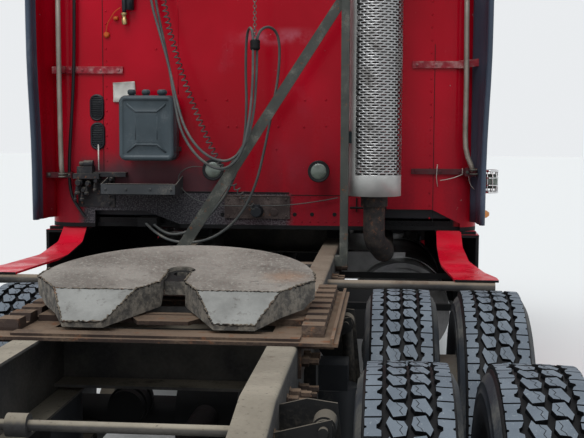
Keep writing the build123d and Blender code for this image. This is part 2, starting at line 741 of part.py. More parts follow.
for y in (CAB_BACK + 120, CAB_BACK + 600):
    tank += rod((AIR_TANK_X, y, AIR_TANK_Z), (AIR_TANK_X, y + 40, AIR_TANK_Z), AIR_TANK_R + STRAP_T)
tank += block(RAIL_OUT, AIR_TANK_X, CAB_BACK + 350, CAB_BACK + 400, AIR_TANK_Z, 900)
write("tanks", tank, mirrored(tank))

# Exhaust: stack in a slotted shield with an elbow that turns forward under the cab
EX_X = -625
EX_Y = CAB_BACK + 260
PIPE_R = 55
stack = rod((EX_X, EX_Y, 1280), (EX_X, EX_Y, 3900), 68)
stack += rod((EX_X, EX_Y, 1500), (EX_X, EX_Y, 3200), 115)
stack -= rod((EX_X, EX_Y, 3300), (EX_X, EX_Y, 3901), 62)
elbow_route = [
    (EX_X, EX_Y, 1280),
    (EX_X, EX_Y, 1110),
    (EX_X - 50, EX_Y - 130, 1030),
    (EX_X - 50, -200, 1030),
]
elbow_path = FilletPolyline(*elbow_route, radius=[80, 80])
stack += sweep(Plane(origin=elbow_path @ 0, z_dir=elbow_path % 0) * Circle(PIPE_R), path=elbow_path)
write("exhaust_stack", stack)

shield = pipe((EX_X, EX_Y, 1335), (EX_X, EX_Y, 3350), 135, 130)
for z in (1520, 3160):
    shield += pipe((EX_X, EX_Y, z), (EX_X, EX_Y, z + 20), 132, 115)
write("exhaust_shield", shield)

POST_X = -476
post_y0 = CAB_BACK + 330
post = block(POST_X - 20, POST_X + 20, post_y0, post_y0 + 60, 985, 3350)
post += block(POST_X - 20, -RAIL_OUT, post_y0, post_y0 + 60, 985, 1035)
for z in (1600, 2900):
    clip = block(-540, POST_X + 20, EX_Y + 20, post_y0, z, z + 60)
    post += clip - rod((EX_X, EX_Y, 1500), (EX_X, EX_Y, 3100), 135)
brace = along(
    polygon([(-456, 2350), (-456, 2260), (330, RAIL_TOP), (400, RAIL_TOP)]),
    post_y0 + 26,
    post_y0 + 36,
)
brace += block(330, 420, post_y0 + 10, post_y0 + 60, RAIL_TOP, RAIL_TOP + 10)
post += brace
write("exhaust_post", post)

# Side extenders behind the cab
ext_plan = [
    (1100, CAB_BACK - 130),
    (1174, CAB_BACK - 130),
    (1178, CAB_BACK - 20),
    (1265, CAB_BACK + 340),
    (1240, CAB_BACK + 345),
    (1140, CAB_BACK - 20),
]
ext_top = [(x - 150, y) for x, y in ext_plan]
extender = upward(polygon(ext_plan), 1180, 2350)
low_face = Plane.XY.offset(2350) * polygon(ext_plan)
top_face = Plane.XY.offset(3500) * polygon(ext_top)
extender += loft([low_face, top_face], ruled=True)
extender -= cab_outer
write("cab_extenders", extender, mirrored(extender))

# Fittings on the cab back
CAN_X = (446, 744)
CAN_Z = (1499, 1830)
CAN_FACE = CAB_BACK + 180
CAN_RIB = 8


def rounded_box(x0, x1, z0, z1, inset, r):
    corners = [
        (x0 + inset, z0 + inset),
        (x1 - inset, z0 + inset),
        (x1 - inset, z1 - inset),
        (x0 + inset, z1 - inset),
    ]
    return polygon(corners, [r] * 4)


can = along(rounded_box(*CAN_X, *CAN_Z, 0, 34), CAB_BACK + 20, CAN_FACE)
can -= along(rounded_box(*CAN_X, *CAN_Z, 24, 22), CAN_FACE - CAN_RIB, CAN_FACE + 1)
can_mid = (CAN_X[0] + CAN_X[1]) / 2
for z, rise in ((CAN_Z[0] + 70, -1), (CAN_Z[1] - 70, 1)):
    # A rib across, bent outward to each corner
    rib = [(-62, 0), (62, 0), (62, 9), (-62, 9)]
    can += along(polygon([(can_mid + x, z + dz) for x, dz in rib]), CAN_FACE - CAN_RIB, CAN_FACE)
    for side in (1, -1):
        bent = [(56, 0), (62, 9), (118, 9 + 46 * rise), (112, 46 * rise)]
        bent = [(can_mid + side * x, z + dz) for x, dz in bent]
        can += along(polygon(bent), CAN_FACE - CAN_RIB, CAN_FACE)
for x, r in ((687, 22), (610, 22), (520, 27)):
    can += rod((x, CAB_BACK + 100, CAN_Z[1] - 1), (x, CAB_BACK + 100, CAN_Z[1] + 30), r)
can += block(470, 720, CAB_BACK, CAB_BACK + 20, 1520, 1800)
write("jerrycan", can)

shelf = block(414, 818, CAB_BACK, CAB_BACK + 200, 1320, 1330)
shelf += block(414, 818, CAB_BACK + 190, CAB_BACK + 200, 1320, 1380)
shelf += block(590, 1010, CAB_BACK, CAB_BACK + 12, 1240, 1390)
shelf += block(-170, 184, CAB_BACK, CAB_BACK + 12, 1170, 1310)
write("back_shelf", shelf)

VENT_R = 36
VENT_RIM = 6
VENT_DEPTH = 14
SLAT_PITCH = 11
LAMP_R = 60
fittings = []


def louvred_vent(x0, x1, z0, z1):
    oval = rounded_box(x0, x1, z0, z1, 0, VENT_R)
    mouth = rounded_box(x0, x1, z0, z1, VENT_RIM, VENT_R - VENT_RIM)
    reach = rounded_box(x0, x1, z0, z1, VENT_RIM / 2, VENT_R - VENT_RIM / 2)
    vent = along(oval, CAB_BACK, CAB_BACK + VENT_DEPTH)
    vent -= along(mouth, CAB_BACK + 3, CAB_BACK + VENT_DEPTH + 1)
    inside = along(reach, CAB_BACK, CAB_BACK + VENT_DEPTH)
    for i in range(int((z1 - z0 - 2 * VENT_RIM) / SLAT_PITCH)):
        z = z0 + VENT_RIM + 4 + i * SLAT_PITCH
        slat = [(CAB_BACK + 2, z + 5), (CAB_BACK + 2, z + 3), (CAB_BACK + 12, z), (CAB_BACK + 12, z + 2)]
        vent += across(polygon(slat), x0, x1) & inside
    return vent


fittings.append(louvred_vent(846, 924, 1714, 1849))
fittings.append(louvred_vent(843, 921, 1556, 1697))
for x, z in ((-328, 1446), (238, 1474)):
    lamp = rod((x, CAB_BACK, z), (x, CAB_BACK + 45, z), 15)
    lamp += rod((x, CAB_BACK + 40, z), (x, CAB_BACK + 70, z), LAMP_R - 12)
    lamp += rod((x, CAB_BACK + 70, z), (x, CAB_BACK + 110, z), LAMP_R)
    lamp -= rod((x, CAB_BACK + 102, z), (x, CAB_BACK + 111, z), LAMP_R - 7)
    fittings.append(lamp)
fittings.append(block(675, 807, CAB_BACK, CAB_BACK + 8, 1811, 1924))
write("vents_and_lamps", *fittings)

rails_back = []
for side, top, low in ((1, 1983, 1412), (-1, 2016, 1452)):
    pole = rod((side * 1095, CAB_BACK + 90, low), (side * 1095, CAB_BACK + 90, 2560), 14)
    for z, x_in in ((top, 745), (low, 820)):
        xs = sorted((side * x_in, side * 1110))
        pole += block(xs[0], xs[1], CAB_BACK, CAB_BACK + 12, z - 17, z + 17)
        xs = sorted((side * 1082, side * 1108))
        pole += block(xs[0], xs[1], CAB_BACK, CAB_BACK + 90, z - 17, z + 17)
    pole += rod((side * 1095, CAB_BACK, 2546), (side * 1095, CAB_BACK + 90, 2546), 14)
    rails_back.append(pole)
write("grab_poles", *rails_back)


# Cords that hang free: straight runs with tangent arcs
def cord(name, places, radius):
    points = [(x, CAB_BACK + back, z) for x, back, z in places]
    radii = []
    for i in range(1, len(points) - 1):
        a = Vector(*points[i]) - Vector(*points[i - 1])
        b = Vector(*points[i + 1]) - Vector(*points[i])
        turn = math.radians(a.get_angle(b))
        shorter = min(a.length, b.length)
        radii.append(0.45 * shorter / math.tan(turn / 2))
    print(name, "smallest bend", round(min(radii)), "for a tube of", 2 * radius)
    route = FilletPolyline(*points, radius=radii)
    section = Plane(origin=route @ 0, z_dir=route % 0) * Circle(radius)
    return sweep(section, path=route)


# Points are (x, distance behind the cab's back wall, z)
HOSE_R = 7
CURLY_R = 17
HOSE_A = [
    (590, 70, 2500),
    (565, 95, 2340),
    (505, 140, 2165),
    (445, 200, 1990),
    (395, 265, 1815),
    (335, 340, 1655),
    (230, 388, 1535),
    (105, 403, 1495),
    (15, 398, 1585),
    (-20, 368, 1745),
    (-27, 325, 1925),
    (-28, 314, 2040),
    (-28, 314, 2151),
    (-79, 252, 2197),
    (-130, 190, 2151),
    (-128, 180, 1970),
    (-92, 162, 1775),
    (-50, 152, 1570),
    (-5, 150, 1375),
    (85, 150, 1195),
    (245, 148, 1075),
    (424, 140, 1062),
    (540, 122, 1108),
    (615, 55, 1166),
]
HOSE_B = [
    (560, 35, 2500),
    (548, 60, 2345),
    (500, 105, 2170),
    (452, 165, 1990),
    (412, 230, 1815),
    (365, 305, 1650),
    (265, 362, 1515),
    (140, 380, 1452),
    (35, 420, 1530),
    (-4, 408, 1715),
    (-12, 352, 1900),
    (-12, 340, 2030),
    (-12, 340, 2146),
    (15, 265, 2192),
    (42, 190, 2146),
    (50, 165, 1970),
    (46, 140, 1775),
    (62, 132, 1575),
    (120, 130, 1385),
    (225, 130, 1228),
    (365, 128, 1112),
    (500, 116, 1103),
    (578, 50, 1166),
]
CURLY = [
    (520, 95, 2500),
    (492, 125, 2325),
    (405, 170, 2010),
    (300, 205, 1740),
    (190, 210, 1500),
    (90, 170, 1345),
    (5, 60, 1235),
]
hose_a = cord("hose a", HOSE_A, HOSE_R)
hose_b = cord("hose b", HOSE_B, HOSE_R)
curly = cord("curly", CURLY, CURLY_R)
write("air_hoses", hose_a, hose_b)
write("curly_cord", curly)

# Glands and plugs that the cords end in, and the clip on a strap that the hoses hang from
def back_block(x0, x1, near, far, z0, z1):
    return block(x0, x1, CAB_BACK + near, CAB_BACK + far, z0, z1)


glands = [
    back_block(485, 640, 0, 125, 2500, 2570),
    back_block(545, 650, -CAB_WALL, 70, 1140, 1187),
    back_block(-30, 40, 12, 85, 1195, 1262),
    back_block(-48, 8, 296, 356, 2070, 2112)
    + back_block(-23, -17, 351, 356, 2112, 2770)
    + back_block(-28, -12, 0, 356, 2752, 2770),
]
glands = [gland - hose_a - hose_b - curly for gland in glands]
write("cord_glands", *glands)

# Fifth wheel: a sliding bed with end bars, a tongue and two pedestals
BED_HALF = 200
BED_X = RACK_IN - 7
BED_RISE = 0.2
bed = block(-BED_X, BED_X, PLATE_PIVOT_Y - BED_HALF, PLATE_PIVOT_Y + BED_HALF, BASE_TOP + BED_RISE, BED_TOP)
bed -= block(-150, 150, PLATE_PIVOT_Y - 120, PLATE_PIVOT_Y + 120, BASE_TOP, BED_TOP + 1)
for end in (PLATE_PIVOT_Y - BED_HALF, PLATE_PIVOT_Y + BED_HALF - 36):
    bed += block(-330, 330, end, end + 36, BED_TOP, BED_TOP + 10)
tongue = [
    (-130, PLATE_PIVOT_Y + BED_HALF - 1),
    (130, PLATE_PIVOT_Y + BED_HALF - 1),
    (80, PLATE_PIVOT_Y + 310),
    (-80, PLATE_PIVOT_Y + 310),
]
bed += upward(polygon(tongue), BED_TOP - 4, BED_TOP + 8)
for side in (1, -1):
    xs = sorted((side * 340, side * 380))
    feet = [
        (PLATE_PIVOT_Y - 110, BED_TOP),
        (PLATE_PIVOT_Y + 110, BED_TOP),
        (PLATE_PIVOT_Y + 36, PLATE_PIVOT_Z),
        (PLATE_PIVOT_Y - 36, PLATE_PIVOT_Z),
    ]
    bed += across(polygon(feet), xs[0], xs[1])
    bed += rod((xs[0], PLATE_PIVOT_Y, PLATE_PIVOT_Z), (xs[1], PLATE_PIVOT_Y, PLATE_PIVOT_Z), 36)
    bed -= rod(
        (xs[0] - 1, PLATE_PIVOT_Y, PLATE_PIVOT_Z),
        (xs[1] + 1, PLATE_PIVOT_Y, PLATE_PIVOT_Z),
        20 + RUN_FIT,
    )
write("fifth_wheel_slider", bed)

# The tilting plate is drawn level about its pivot and then turned: a round top cut by the throat
# and the two ramps, with deep cast walls under its edge and a kingpin hole above the pivot
TOP_UP = 55
PLATE_T = 14
PLATE_MID_Y = 102
LOCK_HOLE_R = 45
RAMP_Y = (250, 382)
RAMP_LOW = -12
WALL_T = 22


def plate_outline(inset):
    # Half of the rear outline from the rim to the throat, then the same mirrored
    half = [
        (40, 60),
        (40, 145),
        (170, RAMP_Y[1]),
        (297, RAMP_Y[1]),
        (362, 245),
        (440, 130),
        (470, PLATE_MID_Y),
        (470, -400),
    ]
    left = [(-x, y) for x, y in reversed(half)]
    points = inset_points((half + left)[::-1], inset)
    return polygon(points) & (Pos(0, PLATE_MID_Y) * Circle(PLATE_R - inset))


top_profile = [
    (-500, TOP_UP),
    (RAMP_Y[0], TOP_UP),
    (RAMP_Y[1] + 20, RAMP_LOW - 10),
    (RAMP_Y[1] + 20, RAMP_LOW - 10 - PLATE_T),
    (RAMP_Y[0] - 3, TOP_UP - PLATE_T),
    (-500, TOP_UP - PLATE_T),
]
wall_profile = [
    (-500, 10),
    (90, 10),
    (150, RAMP_LOW - 18),
    (RAMP_Y[1] + 20, RAMP_LOW - 18),
    (RAMP_Y[1] + 20, RAMP_LOW - 10),
    (RAMP_Y[0], TOP_UP),
    (-500, TOP_UP),
]
full = upward(plate_outline(0), -200, 200)
plate = full & across(polygon(top_profile), -500, 500)
walls = (full - upward(plate_outline(WALL_T), -201, 201)) & across(polygon(wall_profile), -500, 500)
plate += walls
plate -= block(-40, 40, 0, 61, -200, 200)
plate -= rod((0, 0, -200), (0, 0, 200), LOCK_HOLE_R)
for side in (1, -1):
    for x0, x1 in ((300, 335), (385, 420)):
        xs = sorted((side * x0, side * x1))
        plate += block(xs[0], xs[1], -32, 32, 0, TOP_UP - 4)
        plate += rod((xs[0], 0, 0), (xs[1], 0, 0), 32)
    plate += rod((side * 300, 0, 0), (side * 420, 0, 0), 20)
    xs = sorted((side * 100, side * 115))
    plate += block(xs[0], xs[1], -320, 200, 15, TOP_UP - 4)
    xs = sorted((side * 115, side * 300))
    plate += block(xs[0], xs[1], -8, 8, 10, TOP_UP - 4)

# Lock: two jaw halves that meet round the kingpin, seen through the throat
jaw_face = polygon([(0.2, -75), (75, -75), (75, 36), (38, 36), (38, 95), (0.2, 95)])
jaw = upward(jaw_face, -5, TOP_UP - PLATE_T - 0.3) - rod((0, 0, -10), (0, 0, 100), KINGPIN_R)
place = Pos(0, PLATE_PIVOT_Y, PLATE_PIVOT_Z) * Rot(-PLATE_TILT, 0, 0)
plate = place * plate
write("fifth_wheel_plate", plate)
write("kingpin_jaws", place * jaw, place * mirrored(jaw))

# Mud flaps behind the last tyres, on bars whose plates are bolted along the rails
FLAP_GAP = 240
FLAP_T = 8
FLAP_TOP = 900
FLAP_X = (DUAL_IN - TYRE_HALF, DUAL_OUT + TYRE_HALF - 6)
flap_y = AXLE_2 + TYRE_R + FLAP_GAP
flap = block(FLAP_X[0], FLAP_X[1], flap_y, flap_y + FLAP_T, 260, FLAP_TOP)
flap += rod((RAIL_OUT, flap_y + FLAP_T / 2, FLAP_TOP), (FLAP_X[1], flap_y + FLAP_T / 2, FLAP_TOP), 16)
flap += block(RAIL_OUT, RAIL_OUT + 12, AXLE_2 + 455, flap_y + 40, FLAP_TOP - 35, FLAP_TOP + 35)
write("mud_flaps", flap, mirrored(flap))

# Knuckles turn on the kingpins; the tie rod joins their arms
knuckle = rod((KINGPIN_X, AXLE_F, 615), (KINGPIN_X, AXLE_F, 655), 45)
knuckle += rod((KINGPIN_X, AXLE_F, 385), (KINGPIN_X, AXLE_F, 425), 45)
knuckle += block(KINGPIN_X, 975, AXLE_F - 45, AXLE_F + 45, 615, 655)
knuckle += block(KINGPIN_X, 975, AXLE_F - 45, AXLE_F + 45, 385, 425)
knuckle += block(950, 975, AXLE_F - 45, AXLE_F + 45, 385, 655)
knuckle += rod((960, AXLE_F, TYRE_R), (1120, AXLE_F, TYRE_R), 40)
knuckle += block(KINGPIN_X - 20, KINGPIN_X + 20, AXLE_F, AXLE_F + ARM_BACK, 392, 417)
knuckle += rod((KINGPIN_X, AXLE_F + ARM_BACK, 392), (KINGPIN_X, AXLE_F + ARM_BACK, 417), 25)
knuckle += rod((KINGPIN_X, AXLE_F + ARM_BACK, 352), (KINGPIN_X, AXLE_F + ARM_BACK, 400), 10)
knuckle -= rod((KINGPIN_X, AXLE_F, 300), (KINGPIN_X, AXLE_F, 700), 25 + RUN_FIT)
write("knuckle_left", knuckle)
write("knuckle_right", mirrored(knuckle))
tie = rod((-KINGPIN_X, AXLE_F + ARM_BACK, 372), (KINGPIN_X, AXLE_F + ARM_BACK, 372), 14)
for side in (1, -1):
    x = side * KINGPIN_X
    tie += rod((x, AXLE_F + ARM_BACK, 355), (x, AXLE_F + ARM_BACK, 388), 26)
    hole = 10 + RUN_FIT if side > 0 else 10.5
    tie -= rod((x, AXLE_F + ARM_BACK, 300), (x, AXLE_F + ARM_BACK, 420), hole)
write("tie_rod", tie)


# Wheels: tyre and rim turned about their own axis, along X
def tyre_at(x, y):
    half = [(RIM_HALF, RIM_R), (TYRE_HALF, 400), (112, TYRE_R)]
    points = half + [(-dx, r) for dx, r in reversed(half)]
    return spin([(x + dx, r) for dx, r in points], y, TYRE_R)


def hand_holes(shape, x0, x1, y, count, ring, r):
    for i in range(count):
        a = 2 * math.pi * i / count
        cy = y + ring * math.cos(a)
        cz = TYRE_R + ring * math.sin(a)
        shape -= rod((x0, cy, cz), (x1, cy, cz), r)
    return shape


BARREL_R = RIM_R - RIM_WALL
LINER_R = BARREL_R - WELL
DRUM_R = 205
DRUM_WALL = 15
for axle, y in (("1", AXLE_1), ("2", AXLE_2)):
    bore = 45 + RUN_FIT
    profile = [
        (1062, 0),
        (1062, bore),
        (700, bore),
        (700, 105),
        (890, 105),
        (890, DRUM_R - DRUM_WALL),
        (700, DRUM_R - DRUM_WALL),
        (700, DRUM_R),
        (DUAL_MID - 10, DRUM_R),
        (DUAL_MID - 10, LINER_R),
        (DUAL_IN - RIM_HALF, LINER_R),
        (DUAL_IN - RIM_HALF, RIM_R),
        (DUAL_IN + RIM_HALF, RIM_R),
        (DUAL_IN + RIM_HALF, BARREL_R),
        (DUAL_OUT - RIM_HALF, BARREL_R),
        (DUAL_OUT - RIM_HALF, RIM_R),
        (DUAL_OUT + RIM_HALF, RIM_R),
        (DUAL_OUT + RIM_HALF, LINER_R),
        (DUAL_MID + 10, LINER_R),
        (DUAL_MID + 10, 105),
        (1075, 105),
        (1075, 0),
    ]
    rims = hand_holes(spin(profile, y, TYRE_R), DUAL_MID - 40, DUAL_MID + 60, y, 8, 225, 16)
    tyres = [tyre_at(DUAL_IN, y), tyre_at(DUAL_OUT, y)]
    write("rims_" + axle + "_left", rims)
    write("rims_" + axle + "_right", mirrored(rims))
    write("tyres_" + axle + "_left", *tyres)
    write("tyres_" + axle + "_right", *[mirrored(t) for t in tyres])

front_bore = 40 + RUN_FIT
front_profile = [
    (1125, 0),
    (1125, front_bore),
    (985, front_bore),
    (985, 75),
    (1070, 75),
    (1070, DRUM_R - DRUM_WALL),
    (985, DRUM_R - DRUM_WALL),
    (985, DRUM_R),
    (1080, DRUM_R),
    (1080, LINER_R),
    (FRONT_TYRE_X - RIM_HALF, LINER_R),
    (FRONT_TYRE_X - RIM_HALF, RIM_R),
    (FRONT_TYRE_X + RIM_HALF, RIM_R),
    (FRONT_TYRE_X + RIM_HALF, LINER_R),
    (1095, LINER_R),
    (1095, 75),
    (1140, 75),
    (1140, 0),
]
front_rim = hand_holes(spin(front_profile, AXLE_F, TYRE_R), 1060, 1110, AXLE_F, 8, 225, 16)
front_tyre = tyre_at(FRONT_TYRE_X, AXLE_F)
write("rim_front_left", front_rim)
write("rim_front_right", mirrored(front_rim))
write("tyre_front_left", front_tyre)
write("tyre_front_right", mirrored(front_tyre))
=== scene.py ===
import random
from math import atan2, cos, hypot, pi, radians, sin

import bmesh
import bpy
from mathutils import Matrix, Vector


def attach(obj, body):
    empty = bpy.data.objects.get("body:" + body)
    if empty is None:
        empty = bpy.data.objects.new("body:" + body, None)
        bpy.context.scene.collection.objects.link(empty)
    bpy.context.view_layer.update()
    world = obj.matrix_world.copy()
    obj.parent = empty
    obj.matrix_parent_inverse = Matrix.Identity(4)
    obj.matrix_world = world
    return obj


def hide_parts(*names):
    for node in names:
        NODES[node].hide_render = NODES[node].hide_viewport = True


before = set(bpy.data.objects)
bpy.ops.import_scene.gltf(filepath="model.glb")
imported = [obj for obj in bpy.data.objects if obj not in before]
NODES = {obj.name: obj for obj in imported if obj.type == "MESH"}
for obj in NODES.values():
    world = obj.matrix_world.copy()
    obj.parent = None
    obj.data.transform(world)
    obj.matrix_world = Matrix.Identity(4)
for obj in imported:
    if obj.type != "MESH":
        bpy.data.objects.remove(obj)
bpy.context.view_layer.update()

# Driving dimensions in metres, the same as part.py's
FRONT = -4.2
CAB_BACK = 0.5
AXLE_F = -2.95
AXLE_1 = 2.0
AXLE_2 = 3.32
TYRE_R = 0.52
TYRE_HALF = 0.1395
RIM_R = 0.286
DUAL_IN = 0.7485
DUAL_OUT = 1.0915
FRONT_TYRE_X = 1.02
EXHAUST = Vector((-0.625, 0.76, 0))
CENTRE = (0, 0, 0)
ACROSS, BACK, UP = (1, 0, 0), (0, 1, 0), (0, 0, 1)


def add_object(name, data):
    obj = bpy.data.objects.new(name, data)
    bpy.context.scene.collection.objects.link(obj)
    return obj


# Camera, solved from the photograph in the truck's own frame
def make_camera():
    focal_px, width_px = 1049.27, 584
    yaw, pitch, roll = radians(5.113), radians(4.957), radians(-0.267)
    forward = Vector((sin(yaw) * cos(pitch), -cos(yaw) * cos(pitch), -sin(pitch)))
    level = Vector((-cos(yaw), -sin(yaw), 0))
    down = forward.cross(level)
    right = cos(roll) * level + sin(roll) * down
    low = -sin(roll) * level + cos(roll) * down
    data = bpy.data.cameras.new("camera")
    data.sensor_width = 36
    data.lens = data.sensor_width * focal_px / width_px
    data.clip_start, data.clip_end = 0.05, 200
    cam = add_object("camera", data)
    turn = Matrix((right, -low, -forward)).transposed().to_4x4()
    cam.matrix_world = Matrix.Translation((-0.6837, 6.116, 1.6752)) @ turn
    bpy.context.scene.camera = cam


make_camera()


# Node building: a small set of calls that return output sockets
def srgb(r, g, b):
    return (*(((c / 255 + 0.055) / 1.055) ** 2.4 if c > 10 else c / 255 / 12.92 for c in (r, g, b)), 1)


class Nodes:
    # A colour is given as three sRGB bytes, or as four linear values
    def __init__(self, tree):
        self.tree = tree

    def put(self, socket, value):
        if isinstance(value, bpy.types.NodeSocket):
            self.tree.links.new(value, socket)
        elif socket.type == "RGBA" and len(value) == 3:
            socket.default_value = srgb(*value)
        else:
            socket.default_value = value

    def node(self, kind, *values, **sockets):
        # A new node; values go into its inputs in their order, sockets into the named ones
        made = self.tree.nodes.new("ShaderNode" + kind)
        for socket, value in zip(made.inputs, values):
            self.put(socket, value)
        self.put_named(made, sockets)
        return made

    def put_named(self, made, sockets):
        for key, value in sockets.items():
            self.put(made.inputs[key.replace("_", " ")], value)

    def calc(self, op, *values):
        made = self.node("Math", *values)
        made.operation = op
        return made.outputs[0]

    def chain(self, op, values):
        total = values[0]
        for value in values[1:]:
            total = self.calc(op, total, value)
        return total

    def times(self, *values):
        return self.chain("MULTIPLY", values)

    def plus(self, *values):
        return self.chain("ADD", values)

    def most(self, *values):
        return self.chain("MAXIMUM", values)


class Shader(Nodes):
    def __init__(self, name, rough, metal=0.0):
        self.mat = bpy.data.materials.new(name)
        self.mat.use_nodes = True
        super().__init__(self.mat.node_tree)
        self.bsdf = self.tree.nodes["Principled BSDF"]
        self.coord = self.node("TexCoord").outputs["Object"]
        self.set(Roughness=rough, Metallic=metal)

    def set(self, **sockets):
        self.put_named(self.bsdf, sockets)

    def noise(self, scale, detail, stretch=(1, 1, 1), rough=0.55):
        where = self.node("Mapping", Vector=self.coord, Scale=stretch).outputs[0]
        return self.node("TexNoise", Vector=where, Scale=scale, Detail=detail, Roughness=rough).outputs["Fac"]

    def fade(self, value, low, high, to_low=0.0, to_high=1.0):
        made = self.node("MapRange", value, low, high, to_low, to_high)
        made.interpolation_type = "SMOOTHSTEP"
        return made.outputs[0]

    def fall(self, value, low, high):
        return self.fade(value, low, high, 1.0, 0.0)

    def mix(self, fac, a, b, blend="MIX"):
        made = self.tree.nodes.new("ShaderNodeMix")
        made.data_type = "RGBA"
        made.blend_type = blend
        for k, value in ((0, fac), (6, a), (7, b)):
            self.put(made.inputs[k], value)
        return made.outputs[2]

    def base(self, first, mask, second):
        self.body = self.mix(mask, first, second)

    def over(self, colour, *masks):
        self.body = self.mix(self.times(*masks), self.body, colour)

    def place(self):
        return self.node("SeparateXYZ", self.coord).outputs

    def upward(self):
        normal = self.node("NewGeometry").outputs["Normal"]
        return self.node("SeparateXYZ", normal).outputs["Z"]

    def done(self, relief, strength, distance):
        # The colour and the bump go in, and the material comes out
        bump = self.node("Bump", Height=relief, Strength=strength, Distance=distance)
        self.set(Base_Color=self.body, Normal=bump.outputs[0])
        return self.mat


def dusty(name, colour, dust, amount, rough, metal=0.0, rust=0.0, scale=6.0, top=0.35, bump=0.35):
    # A painted or bare surface under road dust, thicker where it faces up
    s = Shader(name, rough, metal)
    fine = s.noise(scale * 14, 5)
    lie = s.times(s.fade(s.upward(), 0.1, 0.9), top)
    mask = s.plus(s.times(s.noise(scale, 6), 0.8), s.times(fine, 0.35), lie)
    mask = s.fade(mask, 1.0 - amount, 1.25 - amount * 0.7)
    s.base(colour, mask, dust)
    if rust:
        spots = s.fade(s.noise(scale * 2.2, 8, rough=0.7), 0.62 - rust * 0.2, 0.72 - rust * 0.2)
        s.over(s.mix(fine, (84, 54, 38), (124, 86, 60)), spots)
    shade = s.fade(s.noise(scale * 0.6, 3), 0.25, 0.8, 0.72, 1.12)
    grey = s.node("CombineColor", Red=shade, Green=shade, Blue=shade).outputs[0]
    s.body = s.mix(1, s.body, grey, "MULTIPLY")
    s.set(Roughness=s.fade(mask, 0, 1, rough * 0.75, min(1, rough * 1.15)), Specular_IOR_Level=0.22)
    if metal:
        s.set(Metallic=s.fade(mask, 0.2, 0.9, metal, 0.05))
    return s.done(s.plus(s.times(fine, 0.6), mask), bump, 0.002)


def rubber(name, colour, dust, amount, scale, rough):
    return dusty(name, colour, dust, amount, rough, 0, 0, scale, 0.15, 0.3)


def paint_red():
    # Gloss red with rain streaks, hazy rubbed patches, stone chips, and soot mixed with painted shade that
    # thicken downward.
    # Behind the can it darkens to a grey patch of soot and painted shade and to a gritty black strip, a pale
    # smear lies at the height of the hoses' clip, and the hollow under the cab is painted black as shade
    s = Shader("red_paint", 0.3)
    x, y, z = s.place()
    streak = s.noise(8, 6, stretch=(1, 1, 0.05))
    fine = s.noise(70, 6)
    mid = s.noise(11, 5)
    s.base((146, 0, 20), s.fade(s.noise(1.1, 4), 0.32, 0.68), (172, 6, 32))
    haze = s.fade(s.plus(s.noise(2.3, 5), s.times(streak, 0.35)), 0.78, 1.02)
    s.over((158, 66, 82), haze, 0.3)

    rear = s.fade(y, CAB_BACK - 0.04, CAB_BACK - 0.01, 0.3, 1.0)
    wall = s.fade(y, CAB_BACK - 0.03, CAB_BACK - 0.01)
    # Soot streaks mixed with painted shade: the wall is painted darker towards its bottom
    soot = s.times(s.fall(z, 1.14, 1.95), rear, s.fade(s.plus(streak, s.times(fine, 0.35)), 0.3, 0.85))
    streaks = s.times(s.fade(streak, 0.56, 0.8), rear, 0.35)
    s.over((56, 30, 38), s.most(s.times(soot, 0.5), streaks))

    ragged = s.plus(x, s.times(mid, 0.12))
    left = s.times(s.fade(x, -0.2, -0.14), s.fall(ragged, 1.0, 1.06), wall)
    strip = s.times(left, s.fall(s.plus(z, s.times(mid, 0.03)), 1.335, 1.35))
    # Soot and painted shade: a dark grey patch on the wall under the can, above the shelf
    cloud = s.times(left, s.fall(s.plus(z, s.times(mid, 0.16)), 1.5, 1.66), s.fade(ragged, 0.2, 0.34))
    s.over((48, 48, 52), cloud, 0.8)
    s.over(s.mix(s.fade(s.noise(120, 5), 0.42, 0.62), (40, 42, 46), (82, 82, 84)), strip, 0.93)

    # Painted shade: the hollow under the cab is painted near black
    under_cab_shade = s.times(s.fall(y, CAB_BACK - 0.008, CAB_BACK - 0.003), s.fade(y, -0.4, -0.3))
    s.over((8, 8, 10), under_cab_shade, s.fall(s.calc("ABSOLUTE", x), 1.04, 1.06), s.fall(z, 1.235, 1.245))
    s.over((128, 116, 112), s.fade(s.noise(38, 3), 0.715, 0.735), 0.6)
    across = s.fall(s.calc("ABSOLUTE", s.plus(x, 0.1)), 0.06, 0.3)
    level = s.fall(s.calc("ABSOLUTE", s.plus(z, -2.16)), 0.0, 0.06)
    s.over((176, 110, 124), across, level, s.fade(mid, 0.35, 0.7), wall, 0.5)

    dull = s.plus(s.most(soot, haze, strip), s.times(fine, 0.3))
    s.set(Roughness=s.fade(dull, 0.1, 1.0, 0.2, 0.75))
    s.set(Coat_Weight=0.04, Coat_Roughness=0.12, Specular_IOR_Level=0.12)
    return s.done(s.plus(s.times(s.noise(1.7, 2), 1.2), s.times(fine, strip, 0.25)), 0.22, 0.006)


def fairing_red():
    # Brighter red panels, dusty on top, scuffed, and painted near black underneath as painted shade
    s = Shader("fairing_red", 0.35)
    fine = s.noise(50, 6)
    s.base((176, 10, 32), s.fade(s.noise(3.2, 5), 0.35, 0.7), (198, 20, 44))
    lie = s.times(s.fade(s.upward(), 0.3, 0.95), s.fade(s.noise(7, 6), 0.35, 0.75))
    s.over((130, 84, 84), lie, 0.22)
    # Painted shade: faces that look down are painted near black
    s.over((26, 24, 26), s.fall(s.upward(), -0.7, -0.2), 0.9)
    s.over((96, 70, 66), s.fade(fine, 0.66, 0.7), 0.5)
    s.set(Roughness=s.fade(s.plus(lie, s.times(fine, 0.3)), 0.1, 1.0, 0.25, 0.7))
    s.set(Coat_Weight=0.12, Coat_Roughness=0.15, Specular_IOR_Level=0.15)
    return s.done(fine, 0.06, 0.002)


